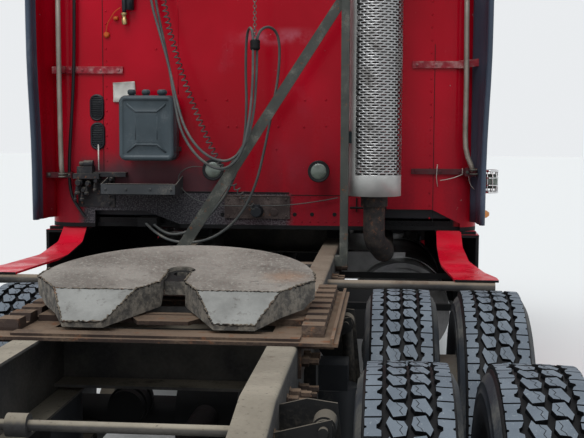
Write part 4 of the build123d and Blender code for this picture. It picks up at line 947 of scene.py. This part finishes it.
def u_bolt(piece, x, y, z, r, reach):
    # Round the pole, back to the bar behind it
    bend = [(x + r * cos(pi * k / 8), y + r * sin(pi * k / 8), z) for k in range(9)]
    piece.tube([(x + r, y - reach, z)] + bend + [(x - r, y - reach, z)], 0.004, 6)
    for end in (x + r, x - r):
        piece.bolt((end, y - reach + 0.012, z), 0.007, (0, -1, 0))


def make_poles():
    poles = Piece()
    for path in (POLE_LEFT, POLE_RIGHT):
        poles.tube([(x, POLE_BACK, z) for x, z in path], POLE_R, 14)
        x, z = path[0][0], POLE_TOP - 0.014
        poles.tube([(x, 0, z), (x, POLE_BACK, z)], POLE_R, 14)
        poles.lathe([(0, 0.03), (0.004, 0.03), (0.006, 0.02)], (x, 0, z))
    poles.finish("poles", "pole", replaces="grab_poles")

    bars = Piece()
    channel(bars, 0.738, 1.13, 1.964, 2.001, BAR_OUT)
    channel(bars, -1.06, -0.815, 1.992, 2.028, BAR_OUT)
    channel(bars, -1.103, -0.816, 1.434, 1.463, BAR_OUT, 1)
    bent_end = [(-1.178, 2.043), (-1.055, 2.03), (-1.055, 1.99), (-1.178, 2.004)]
    bars.prism(bent_end, (0, 0.012, 0), ACROSS, UP, -0.004)
    for x0, x1, z0, z1 in ((1.05, 1.085, 1.964, 2.001), (-1.11, -1.08, 1.992, 2.028)):
        bars.block((x0, 0, z0), (x1, POLE_BACK - 0.012, z1))
    for x0, x1, z0, z1 in ((1.016, 1.156, 1.4, 1.429), (-1.178, -1.097, 1.426, 1.47)):
        bars.block((x0, 0, z0), (x1, 0.004, z1), 1)
        bars.block((x0, CLAMP_OUT, z0), (x1, CLAMP_OUT + 0.004, z1), 1)
        for x in (x0, x1 - 0.004):
            bars.block((x, 0.004, z0), (x + 0.004, CLAMP_OUT, z1), 1)
    upper = ((0.76, 1.983), (0.86, 1.981), (0.96, 1.983), (1.03, 1.983), (-0.84, 2.01), (-0.94, 2.01))
    bars.bolts(upper, BAR_OUT, 0.006)
    bars.bolts(((-0.84, 1.449), (-0.97, 1.449), (-1.07, 1.449)), BAR_OUT, 0.006, 1)
    bars.finish("pole_bars", "bar bar_dark", bevel=0.001)

    clamps = Piece()
    for x, z in ((1.057, 1.422), (1.057, 1.408), (-1.136, 1.462), (-1.139, 1.44)):
        u_bolt(clamps, x, POLE_BACK, z, 0.0175, 0.05)
    clamps.bolts(((1.03, 1.415), (1.14, 1.416), (-1.108, 1.448), (-1.168, 1.45)), CLAMP_OUT + 0.004, 0.0075)
    clamps.finish("pole_clamps", "brace", bevel=0.0006)


make_poles()


# Plastic can in its tray, with a recessed front, an X of ribs and three screw caps
CAN_X = (0.427, 0.722)
CAN_Z = (1.5, 1.842)
CAN_BACK, CAN_FACE = 0.02, 0.18
CAN_R = 0.036
CAPS = ((0.094, 0.021), (0.017, 0.021), (-0.07, 0.025))
CAP_RIBS = 18


def can_ring(inset, y):
    r = max(0.006, CAN_R - inset)
    return rounded(CAN_X[0] + inset, CAN_X[1] - inset, CAN_Z[0] + inset, CAN_Z[1] - inset, r, y)


def make_can():
    can = Piece()
    face = CAN_FACE
    shape = [
        (0.02, CAN_BACK), (0.006, CAN_BACK + 0.003), (0, CAN_BACK + 0.014), (0, face - 0.072),
        (-0.002, face - 0.07), (-0.002, face - 0.062), (0, face - 0.06), (0, face - 0.016),
        (0.003, face - 0.006), (0.01, face - 0.001), (0.018, face), (0.022, face - 0.001),
        (0.026, face - 0.007), (0.03, face - 0.008), (0.075, face - 0.009), (0.079, face - 0.006),
        (0.11, face - 0.005),
    ]
    can.loft([can_ring(inset, y) for inset, y in shape])
    cx = sum(CAN_X) / 2
    low, high = CAN_Z
    for z, way in ((high - 0.085, 1), (low + 0.085, -1)):
        ends = [(-0.103, 0.04), (-0.056, 0), (0.056, 0), (0.103, 0.04)]
        can.tube([(cx + x, face - 0.007, z + way * dz) for x, dz in ends], 0.0055)
    for x in (-0.058, 0.058):
        can.tube([(cx + x, face - 0.0075, low + 0.11), (cx + x, face - 0.0075, high - 0.11)], 0.003)
    for dx, r in CAPS:
        x, y = cx + dx, 0.1
        cap = [(-0.004, r * 0.8), (0.008, r * 0.8), (0.009, r), (0.028, r * 0.96), (0.033, r * 0.7)]
        can.lathe(cap, (x, y, high), UP, CAP_RIBS)
        for a in angles(CAP_RIBS):
            foot = (x + r * cos(a), y + r * sin(a))
            can.tube([(*foot, high + 0.01), (*foot, high + 0.027)], 0.0014, 5)
    can.finish("can", "can", replaces="jerrycan")
    tray = Piece()
    tray.block((CAN_X[0] + 0.03, 0, 1.52), (CAN_X[1] - 0.03, CAN_BACK + 0.002, 1.8))
    for z in (1.56, 1.76):
        tray.block((CAN_X[0] - 0.006, 0, z - 0.012), (CAN_X[0] - 0.002, face - 0.03, z + 0.012))
    tray.finish("can_tray", "shelf", bevel=0.001)


make_can()


# Louvred vents, two lamps and a bent pale sheet with nothing on it
VENTS = ((0.849, 0.921, 1.712, 1.849), (0.845, 0.919, 1.556, 1.697))
VENT_RIM = ((-0.004, 0), (-0.004, 0.004), (0, 0.011), (0.003, 0.013), (0.007, 0.011), (0.009, 0.002))
VENT_R = 0.034
SLATS = 10
SLAT = [(0.002, 0.0048), (0.011, -0.002), (0.012, 0.0005), (0.002, 0.0062)]
LAMPS = (("right", -0.33, 1.448), ("left", 0.232, 1.452))
LAMP_R = 0.058
SHEET_X = [0.672 + 0.011 * k for k in range(12)]
SHEET = ((1.811, 0.01), (1.84, 0.006), (1.87, 0.005), (1.895, 0.007), (1.908, 0.012), (1.914, 0.014))


def make_vents():
    vents = Piece()
    for x0, x1, z0, z1 in VENTS:
        rings = []
        for inset, out in VENT_RIM:
            r = max(0.01, VENT_R - inset)
            rings.append(rounded(x0 + inset, x1 - inset, z0 + inset, z1 - inset, r, out))
        vents.loft(rings)
        for k in range(SLATS):
            z = z0 + 0.016 + k * (z1 - z0 - 0.032) / (SLATS - 1)
            off = max(0, VENT_R - min(z - z0, z1 - z))
            half = (x1 - x0) / 2 - 0.008 - off * off / 0.06
            vents.prism(SLAT, ((x0 + x1) / 2 - half, 0, z), BACK, UP, 2 * half)
    vents.finish("vents", "black", bevel=0.0006, replaces="vents_and_lamps")


def make_lamp(name, x, z):
    r = LAMP_R
    lamp = Piece()
    for profile, look in (
        ([(0, 0.028), (0.006, 0.028), (0.008, 0.015), (0.04, 0.015), (0.045, 0.03), (0.062, 0.046)], 0),
        ([(0.062, 0.046), (0.074, r - 0.003), (0.096, r - 0.001)], 0),
        ([(0.093, r), (0.103, r), (0.107, r - 0.004), (0.103, r - 0.009)], 1),
        ([(0.094, r - 0.008), (0.101, r - 0.009), (0.106, 0.03), (0.1075, 0.002)], 2),
    ):
        lamp.lathe(profile, (x, 0, z), steps=32, look=look)
    screws = [(x + 0.053 * cos(radians(a)), z + 0.053 * sin(radians(a))) for a in (30, 150, 270)]
    lamp.rivets(screws, 0.003, 0.105, 1)
    lamp.finish("lamp_" + name, "black wire lamp_lens")


def make_pale_sheet():
    sheet = Piece()
    grid = [[(x, out + 0.0015 * sin(k * 1.3 + z * 40), z) for k, x in enumerate(SHEET_X)] for z, out in SHEET]
    grid.append([(x, 0.018, 1.922 - 0.0008 * k) for k, x in enumerate(SHEET_X)])
    grid = [[sheet.vert(place) for place in row] for row in grid]
    for low, high in zip(grid, grid[1:]):
        for k in range(len(SHEET_X) - 1):
            sheet.face((low[k + 1], low[k], high[k], high[k + 1]), smooth=True)
    thicken(sheet.finish("pale_sheet", "pale_sheet"), 0.0012, 0)


make_vents()
for name, x, z in LAMPS:
    make_lamp(name, x, z)
make_pale_sheet()


# Shelf, greasy valve block and rub plate, which stand for one node
SHELF_OUT = 0.2
# Each valve as (x, z, radius, length)
VALVES = (
    (0.975, 1.375, 0.021, 0.055), (0.925, 1.37, 0.017, 0.05), (0.88, 1.385, 0.014, 0.045),
    (0.952, 1.335, 0.016, 0.04), (0.99, 1.33, 0.011, 0.035), (0.8, 1.395, 0.013, 0.04),
)


def make_shelf():
    out = SHELF_OUT
    shelf = Piece()
    shelf.block((0.414, 0, 1.32), (0.818, out, 1.324))
    shelf.block((0.414, out - 0.004, 1.32), (0.818, out, 1.378))
    shelf.block((0.43, out - 0.012, 1.374), (0.79, out, 1.379), 1)
    for x in (0.414, 0.814):
        shelf.prism([(0, 0), (0.2, 0), (0.2, 0.05), (0, 0.09)], (x, 0, 1.324), BACK, UP, 0.004)
    shelf.bolts([(x, 1.35) for x in (0.44, 0.55, 0.68, 0.79)], out, 0.006)
    shelf.finish("shelf", "shelf shelf_edge", bevel=0.001, replaces="back_shelf")

    valve = Piece()
    valve.block((0.79, 0, 1.24), (0.995, 0.006, 1.39))
    channel(valve, 0.718, 0.9, 1.407, 1.432, 0.05)
    channel(valve, 0.86, 1.005, 1.396, 1.424, 0.07)
    valve.block((0.9, 0, 1.424), (0.985, 0.06, 1.462))
    valve.lathe([(0, 0.02), (0.05, 0.02), (0.055, 0.013), (0.075, 0.013)], (0.9, 0.035, 1.476), ACROSS, 14)
    for x, z, r, long in VALVES:
        stem = [(0, r), (long, r), (long + 0.004, r * 0.7), (long + 0.018, r * 0.7)]
        valve.lathe(stem, (x, 0.006, z), steps=14)
        valve.bolt((x, 0.01 + long, z), r * 0.55)
        elbow = [(0, r * 0.6), (0.03, r * 0.6), (0.034, r * 0.8), (0.045, r * 0.8)]
        valve.lathe(elbow, (x + 0.01, 0.02 + long / 2, z - r), (0, 0.2, -1), 6)
    valve.bolts(((0.82, 1.26), (0.97, 1.26), (0.82, 1.3), (0.735, 1.419), (0.77, 1.419)), 0.006, 0.0075)
    valve.finish("valve_block", "valve", bevel=0.0012)

    rub = Piece()
    rub.block((-0.17, 0, 1.187), (0.184, 0.011, 1.31))
    rub.tube([(-0.168, 0.012, 1.309), (0.182, 0.012, 1.311)], 0.003)
    corners = ((-0.15, 1.2), (-0.15, 1.292), (0.165, 1.2), (0.165, 1.292), (0.1, 1.295), (-0.05, 1.296))
    rub.bolts(corners, 0.011, 0.0065)
    rub.lathe([(0, 0.021), (0.004, 0.021), (0.005, 0.014)], (-0.084, 0.011, 1.222), steps=18)
    rub.finish("rub_plate", "rub", bevel=0.001)


make_shelf()


# Wall seams, rivets, the lap joint of the lower panels and small ends of pipes
RIVETS = [
    (0.558, 2.095), (0.289, 1.823), (0.172, 1.823), (0.167, 1.682), (0.118, 1.682), (-0.104, 1.683),
    (-0.095, 1.562), (-0.248, 1.824), (-0.36, 1.825), (-0.243, 1.681), (-0.361, 1.687),
]
RIVET_PITCH = 0.067
# Each seam as (x from, x to, z from, z to, height)
SEAMS = (
    (-0.165, 0.82, 1.322, 1.33, 0.002), (-0.68, -0.175, 1.313, 1.317, 0.002),
    (0.849, 0.852, 1.4, 2.64, 0.0016), (-0.9345, -0.9315, 1.18, 2.117, 0.0016),
)


def make_wall_trim():
    wall = Piece()
    wall.rivets(RIVETS, 0.0065)
    for x, low, high in ((0.832, 1.36, 2.64), (-0.916, 1.2, 2.64)):
        wall.rivets([(x, low + k * RIVET_PITCH) for k in range(int((high - low) / RIVET_PITCH))], 0.0055)
    wall.rivets([(0.8 - k * RIVET_PITCH, 1.268 + 0.0425 * k / 15) for k in range(15)], 0.0045)
    for k in range(11):
        wall.rivets([(-0.19 - k * 0.044, 1.172 + 0.0005 * k)], 0.005)
        wall.rivets([(-0.19 - k * 0.044, 1.305)], 0.0045)
    x = 0.438
    wall.tube([(x, -0.002, 1.855), (x, -0.0005, 1.9), (x, -0.0005, 2.3), (x, -0.002, 2.354)], 0.004)
    wall.finish("wall_rivets", "red")

    seams = Piece()
    for x0, x1, z0, z1, out in SEAMS:
        seams.block((x0, 0, z0), (x1, out, z1))
    for x, z in ((0.198, 1.206), (-0.196, 1.211), (-0.289, 1.212), (-0.41, 1.213)):
        seams.lathe([(-0.001, 0.011), (0.0012, 0.011), (0.0014, 0.0095)], (x, 0, z), steps=16)
    seams.block((-0.531, 0, 1.23), (-0.525, 0.01, 1.306))
    seams.tube([(-0.493, 0.02, 1.252), (-0.689, 0.02, 1.252)], 0.006)
    seams.finish("wall_seams", "soot")

    # Pale rod down the left vent, brass fitting under a dark pipe, and a small cap on the wall
    rod = Piece()
    rod.tube([(0.872, 0.03, 1.581), (0.871, 0.03, 1.442)], 0.004)
    rod.finish("pale_rod", "pale_sheet")
    pipes = Piece()
    pipes.tube([(0.722, 0.04, 2.4), (0.722, 0.035, 2.3), (0.722, 0.03, 2.29)], 0.012)
    pipes.tube([(0.69, 0.03, 2.42), (0.692, 0.03, 2.3)], 0.022, 12)
    pipes.finish("pipe_ends", "black")
    brass = Piece()
    nut = [(0, 0.017), (0.012, 0.017), (0.016, 0.012), (0.03, 0.012), (0.034, 0.016), (0.062, 0.014)]
    brass.lathe(nut, (0.724, 0.03, 2.285), (-0.05, 0, -1), 8)
    brass.finish("brass_fitting", "brass", bevel=0.0008)
    cap = Piece()
    cap.lathe([(0, 0.016), (0.012, 0.016), (0.018, 0.01)], (0.826, 0, 2.171), steps=14)
    cap.lathe([(0, 0.011), (0.02, 0.011), (0.024, 0.007)], (0.785, 0.01, 2.258), (-1, 0.1, 0), 8)
    cap.finish("orange_cap", "orange", bevel=0.0008)


make_wall_trim()


# Right corner: caged work lamp and amber side marker, both carried by the cab's side
def make_corner_lamps():
    x, half, y, z0, z1 = -1.24, 0.045, 0.36, 1.335, 1.45
    lamp = Piece(CENTRE)
    bulb = [(0, 0.034), (0.006, 0.04), (0.085, 0.04), (0.092, 0.034)]
    lamp.lathe(bulb, (-1.19, y, (z0 + z1) / 2), (-1, 0, 0), 24, 1)
    for z in (z0, z1):
        lamp.tube(hoop((x, y, z), (half, 0, 0), (0, 0.052, 0), 20), 0.0055)
    for foot in hoop((x, y, z0), (half, 0, 0), (0, 0.052, 0), 10)[:-1]:
        lamp.tube([foot, (foot.x, foot.y, z1)], 0.003, 6)
    for z in (z0 + 0.038, z0 + 0.077):
        lamp.tube(hoop((x, y, z), (half * 1.06, 0, 0), (0, 0.055, 0), 20), 0.003, 6)
    lamp.block((-1.2, y - 0.02, z0 + 0.03), (-1.166, y + 0.02, z1 - 0.03))
    for z in (z0 - 0.004, z1 - 0.006):
        lamp.lathe([(0, 0.036), (0.002, 0.04), (0.008, 0.04), (0.01, 0.036)], (x, y, z), UP, 20, 2)
    lamp.finish("caged_lamp", "chrome lamp_lens black")
    marker = Piece(CENTRE)
    marker.lathe([(0, 0.024), (0.03, 0.024), (0.062, 0.02), (0.076, 0.01)], (-1.168, y, 1.214), (-1, 0, 0))
    marker.finish("amber_marker", "amber_lens")


make_corner_lamps()


# Pale cable ties whose ends hang from the right pole's lower bar
TIE_ENDS = (
    [(-0.953, 1.487), (-0.951, 1.45), (-0.949, 1.42), (-0.956, 1.37)],
    [(-0.968, 1.402), (-1.0, 1.407), (-1.04, 1.417), (-1.085, 1.435)],
    [(-1.118, 1.43), (-1.121, 1.4), (-1.132, 1.375), (-1.149, 1.356)],
)


def make_ties():
    ties = Piece()
    for path in TIE_ENDS:
        ties.tube([(x, 0.018, z) for x, z in path], 0.0022, 6)
    for x in (-0.951, -1.085):
        ties.tube(hoop((x, 0.009, 1.449), (0, 0.009, 0), (0, 0, 0.018), 12), 0.0018, 6)
    ties.finish("cable_ties", "tie")


make_ties()


# What the cords end in, and the chain and taped clip that the hoses hang from
CLIP = Vector((-0.02, 0.326, 2.091))
CLIP_TAPE = (
    (-0.027, 0.75), (-0.021, 0.95), (-0.012, 1), (-0.009, 0.93), (0, 1), (0.004, 0.94), (0.016, 1),
    (0.025, 0.8),
)
LINK = 0.019
CHAIN_TOP = 2.761


def make_fittings():
    fittings = Piece()
    fittings.block((0.485, 0, 2.5), (0.64, 0.125, 2.57))
    for route in (HOSE_A, HOSE_B, CURLY):
        way = Vector(route[1]) - Vector(route[0])
        fittings.lathe([(-0.004, 0.018), (0.016, 0.018)], route[0], way, 6)
        fittings.lathe([(0.016, 0.014), (0.024, 0.014), (0.05, 0.0095)], route[0], way, 16)
    fittings.block((0.545, -0.05, 1.14), (0.65, 0.066, 1.187), 1)
    for x in (0.57, 0.61):
        fittings.lathe([(-0.012, 0.015), (0.004, 0.015)], (x, 0.066, 1.165), BACK, 6, 1)
    socket = [(0, 0.033), (0.03, 0.033), (0.034, 0.029), (0.07, 0.029), (0.073, 0.024)]
    fittings.lathe(socket, (0.005, 0.012, 1.228), steps=24)
    lid = [(-0.022, 0), (0.022, 0), (0.016, 0.012), (-0.016, 0.012)]
    fittings.prism(lid, (0.005, 0.05, 1.256), ACROSS, UP, -0.03)
    rings = []
    for dz, swell in CLIP_TAPE:
        rings.append(hoop(CLIP + Vector((0, 0, dz)), (0.026 * swell, 0, 0), (0, 0.028 * swell, 0), 20)[:-1])
    fittings.loft(rings, 1)
    fittings.block((-0.028, 0, CHAIN_TOP - 0.009), (-0.012, 0.355, CHAIN_TOP + 0.009))
    for k in range(int((CHAIN_TOP - CLIP.z) / (LINK * 0.8))):
        flat = k % 2
        centre = CLIP + Vector((0, 0.014, 0.02 + k * LINK * 0.8))
        wide = (0.0075 * flat, 0.0075 * (1 - flat), 0)
        fittings.tube(hoop(centre, wide, (0, 0, LINK / 2), 10), 0.0026, 5, 2)
    fittings.finish("cord_fittings", "black soot shelf_edge", bevel=0.001, replaces="cord_glands")


make_fittings()


# Chassis bolts: pairs through the rails, with long nuts outside
RAIL_SIDE = 0.432
BOLT_GAP = 0.075
BOLT_PAIRS = (
    (2.98, 0.985), (3.05, 0.9), (3.35, 0.96), (3.35, 0.9), (3.75, 0.96), (3.75, 0.88),
    (1.7, 0.96), (1.7, 0.88), (1.1, 0.96), (1.1, 0.88), (0.7, 0.96), (0.7, 0.88),
)
LONG_NUT = [(0, 0.021), (0.004, 0.021), (0.004, 0.0165), (0.03, 0.0165), (0.032, 0.011), (0.06, 0.011)]


def make_chassis_bolts():
    bolts = Piece(CENTRE)
    for side in (1, -1):
        for y, z in BOLT_PAIRS:
            for dy in (0, BOLT_GAP):
                bolts.lathe(LONG_NUT, (side * RAIL_SIDE, y + dy, z), (side, 0, 0), 6)
    bolts.finish("rail_bolts", "base", bevel=0.001)


make_chassis_bolts()


# Crust along the plate's front edges and its ramp creases: lumpy beads that follow the node's own edges
PLATE_FRONT = 2.66


def sharp_edges(node, test):
    bm = bmesh.new()
    bm.from_mesh(NODES[node].data)
    bmesh.ops.remove_doubles(bm, verts=bm.verts, dist=0.00002)
    found = []
    for edge in bm.edges:
        if len(edge.link_faces) == 2:
            one, two = (face.normal for face in edge.link_faces)
            a, b = (vert.co.copy() for vert in edge.verts)
            if one.angle(two, 0) > radians(7) and test((a.y + b.y) / 2, one, two):
                found.append((a, b))
    bm.free()
    return found


def rim(y, one, two):
    wall = min(abs(one.z), abs(two.z)) < 0.5
    return max(one.z, two.z) > 0.75 and wall and y > PLATE_FRONT


def crease(y, one, two):
    return min(one.z, two.z) > 0.75


def lumpy_bead(piece, a, b, radius, dice):
    steps = max(2, int((b - a).length / 0.006))
    way = (b - a).normalized()
    side = way.orthogonal().normalized()
    up = way.cross(side)
    rings = []
    for k in range(steps + 1):
        swell = radius * dice.uniform(0.35, 1.25)
        centre = a.lerp(b, k / steps) + (side * dice.uniform(-1, 1) + up * dice.uniform(-1, 1)) * radius * 0.5
        rings.append([centre + (side * cos(t) + up * sin(t)) * swell * dice.uniform(0.7, 1.15)
                      for t in (0, 1.05, 2.09, 3.14, 4.19, 5.24)])
    piece.loft(rings, 0, False)


def make_crust():
    dice = random.Random(7)
    crust = Piece(CENTRE)
    for test, radius in ((rim, 0.0042), (crease, 0.003)):
        for a, b in sharp_edges("fifth_wheel_plate", test):
            lumpy_bead(crust, a, b, radius, dice)
    crust.finish("plate_crust", "grease", "fifth_wheel_top")


make_crust()


# Seats and bunk: crowned cushions in woven cloth
SEAT_X = 0.5
# Each cushion of a seat as (low corner, high corner, crown)
CUSHIONS = (
    ((-0.255, FRONT + 2.335, 1.47), (0.255, FRONT + 2.8, 1.585), 0.012),
    ((-0.245, FRONT + 2.83, 1.6), (0.245, FRONT + 2.95, 2.12), 0.008),
    ((-0.15, FRONT + 2.835, 2.13), (0.15, FRONT + 2.945, 2.29), 0.006),
)


def cushion(piece, low, high, crown, pinch=0.012, cuts=10):
    # A cube divided, rounded, stretched to its box, crowned on its broad faces and pinched at its edges
    pad = bmesh.new()
    bmesh.ops.create_cube(pad, size=2)
    bmesh.ops.subdivide_edges(pad, edges=pad.edges, cuts=cuts, use_grid_fill=True)
    half = [(b - a) / 2 for a, b in zip(low, high)]
    mid = [(a + b) / 2 for a, b in zip(low, high)]
    thin = half.index(min(half))
    wide = [k for k in range(3) if k != thin]
    for vert in pad.verts:
        norm = sum(abs(c) ** 7 for c in vert.co) ** (1 / 7)
        q = [c / norm * max(abs(c) for c in vert.co) for c in vert.co]
        place = [mid[k] + q[k] * half[k] for k in range(3)]
        place[thin] += crown * (1 - q[wide[0]] ** 2) * (1 - q[wide[1]] ** 2) * q[thin]
        for k in wide:
            edge = max(0, abs(q[k]) - 0.6) / 0.4 * (1 if q[k] > 0 else -1)
            place[k] -= pinch * (1 - abs(q[thin])) * edge
        vert.co = place
    for face in pad.faces:
        face.smooth = True
    mesh = bpy.data.meshes.new("pad")
    pad.to_mesh(mesh)
    pad.free()
    piece.bm.from_mesh(mesh)
    bpy.data.meshes.remove(mesh)


def make_seat(name, x):
    seat = Piece(CENTRE)
    for low, high, crown in CUSHIONS:
        cushion(seat, (x + low[0], *low[1:]), (x + high[0], *high[1:]), crown)
    seat.finish("seat_" + name, "cloth", replaces="seats_and_bunk")
    base = Piece((x, FRONT, 0))
    base.block((-0.23, 2.35, 1.18), (0.23, 2.85, 1.25))
    pedestal = [(0, 0.17), (0.03, 0.19), (0.14, 0.12), (0.2, 0.17), (0.215, 0.19)]
    base.lathe(pedestal, (0, 2.6, 1.25), UP, 24)
    for dx in (-0.08, 0.08):
        base.tube([(dx, 2.89, 2.1), (dx, 2.89, 2.16)], 0.008)
    base.finish("seat_base_" + name, "dash", bevel=0.003)


def make_bunk():
    bunk = Piece(CENTRE)
    cushion(bunk, (-1.05, FRONT + 3.94, 1.52), (1.05, 0.44, 1.635), 0.004, 0.006, 24)
    bunk.finish("bunk_mattress", "cloth")
    base = Piece(CENTRE)
    base.block((-1.07, FRONT + 3.96, 1.19), (1.07, 0.44, 1.515))
    base.finish("bunk_base", "dash", bevel=0.006)


make_seat("left", SEAT_X)
make_seat("right", -SEAT_X)
make_bunk()
make_wires()


# Small fittings on the outside: each sits where a ray from outside meets its node
HANDLE = (-1.43, 1.62)
MIRROR_X, MIRROR_Z = (1.305, 1.435), (1.855, 2.385)
WIPER_FOOT, WIPER_TIP = Vector((0.18, FRONT - 1, 1.965)), Vector((0.72, FRONT - 1, 2.1))
ROOF_LAMPS = (-0.7, -0.35, 0, 0.35, 0.7)


def touch(node, start, way):
    now = bpy.context.evaluated_depsgraph_get()
    _, place, normal, _ = NODES[node].ray_cast(Vector(start), Vector(way), depsgraph=now)
    return place.copy(), normal.copy()


def make_door_fittings(name, side):
    body = "door_" + name
    y, z = HANDLE
    x = touch(body, (side * 2, y, z), (-side, 0, 0))[0].x
    out = x + side * 0.034
    handle = Piece(CENTRE)
    handle.block((x - 0.003, y - 0.07, z - 0.035), (x + 0.003, y + 0.07, z + 0.035), 1)
    handle.tube([(x, y - 0.055, z), (out, y - 0.04, z), (out, y + 0.04, z), (x, y + 0.055, z)], 0.008, 10)
    handle.lathe([(0, 0.014), (0.006, 0.014), (0.007, 0.009)], (x, y, z - 0.06), (side, 0, 0), 16)
    handle.finish("door_handle_" + name, "black soot", body, 0.001)

    y = touch("mirror_" + name, (side * MIRROR_X[1], 0, MIRROR_Z[0]), (0, -1, 0))[0].y
    near, far = sorted(side * x for x in MIRROR_X)
    face = Piece(CENTRE)
    face.block((near, y - 0.002, MIRROR_Z[0]), (far, y + 0.003, MIRROR_Z[1]))
    face.finish("mirror_face_" + name, "mirror", body, 0.002)


def make_cab_fittings():
    lamps = Piece(CENTRE)
    for x in ROOF_LAMPS:
        place, normal = touch("cab_roof", (x, -1.25, 5), (0, 0, -1))
        lamps.lathe([(-0.004, 0.04), (0.01, 0.04), (0.012, 0.034)], place, normal, look=1)
        lamps.lathe([(0.01, 0.033), (0.024, 0.028), (0.032, 0.014), (0.033, 0.003)], place, normal)
    lamps.finish("roof_lamps", "amber_lens black")

    wipers = Piece(CENTRE)
    for side in (1, -1):
        mirrored = Vector((side, 1, 1))
        foot = touch("cab_front", (WIPER_FOOT - Vector((0, 0, 0.03))) * mirrored, BACK)[0]
        points = [foot + Vector((0, -0.012, 0.004))]
        for t in (0.08, 0.3, 0.55, 0.8, 1):
            place, normal = touch("fixed_windows", WIPER_FOOT.lerp(WIPER_TIP, t) * mirrored, BACK)
            points.append(place + normal * 0.012)
        wipers.lathe([(-0.01, 0.02), (0.02, 0.018), (0.028, 0.01)], foot, (0, -1, 0.5), 14)
        wipers.tube(points, 0.0055)
    wipers.finish("wipers", "black")


make_door_fittings("left", 1)
make_door_fittings("right", -1)
make_cab_fittings()


# Floor, sky and light
def make_floor():
    mesh = bpy.data.meshes.new("floor")
    r = 60
    mesh.from_pydata([(-r, -r, 0), (r, -r, 0), (r, r, 0), (-r, r, 0)], [], [(0, 1, 2, 3)])
    pale = Shader("floor_pale", 0.8)
    pale.set(Base_Color=(208, 207, 203))
    mesh.materials.append(pale.mat)
    add_object("floor", mesh)


def make_sky():
    # A light sky that the camera sees plain, and that lights the truck with a paler top than foot
    world = bpy.data.worlds.new("sky")
    bpy.context.scene.world = world
    world.use_nodes = True
    world.node_tree.nodes.clear()
    sky = Nodes(world.node_tree)
    height = sky.node("SeparateXYZ", sky.node("TexCoord").outputs["Generated"]).outputs["Z"]
    ramp = sky.node("ValToRGB", Fac=sky.calc("MULTIPLY_ADD", height, 0.5, 0.5))
    foot, top = ramp.color_ramp.elements
    foot.position, foot.color = 0.35, (0.3, 0.3, 0.3, 1)
    top.position, top.color = 0.8, (0.86, 0.92, 1.0, 1)
    lit = sky.node("Background", Color=ramp.outputs[0], Strength=1.15)
    seen = sky.node("Background", Color=(0.82, 0.84, 0.86, 1))
    rays = sky.node("LightPath").outputs
    direct = sky.most(*(rays["Is %s Ray" % kind] for kind in ("Camera", "Transmission", "Glossy")))
    mix = sky.node("MixShader", direct, lit.outputs[0], seen.outputs[0])
    sky.node("OutputWorld", Surface=mix.outputs[0])


def make_sun():
    data = bpy.data.lights.new("sky_light", "SUN")
    data.energy = 1.6
    data.angle = radians(40)
    add_object("sky_light", data).rotation_euler = (radians(-35), radians(15), 0)


make_floor()
make_sky()
make_sun()
scene = bpy.context.scene
scene.view_settings.view_transform = "Standard"
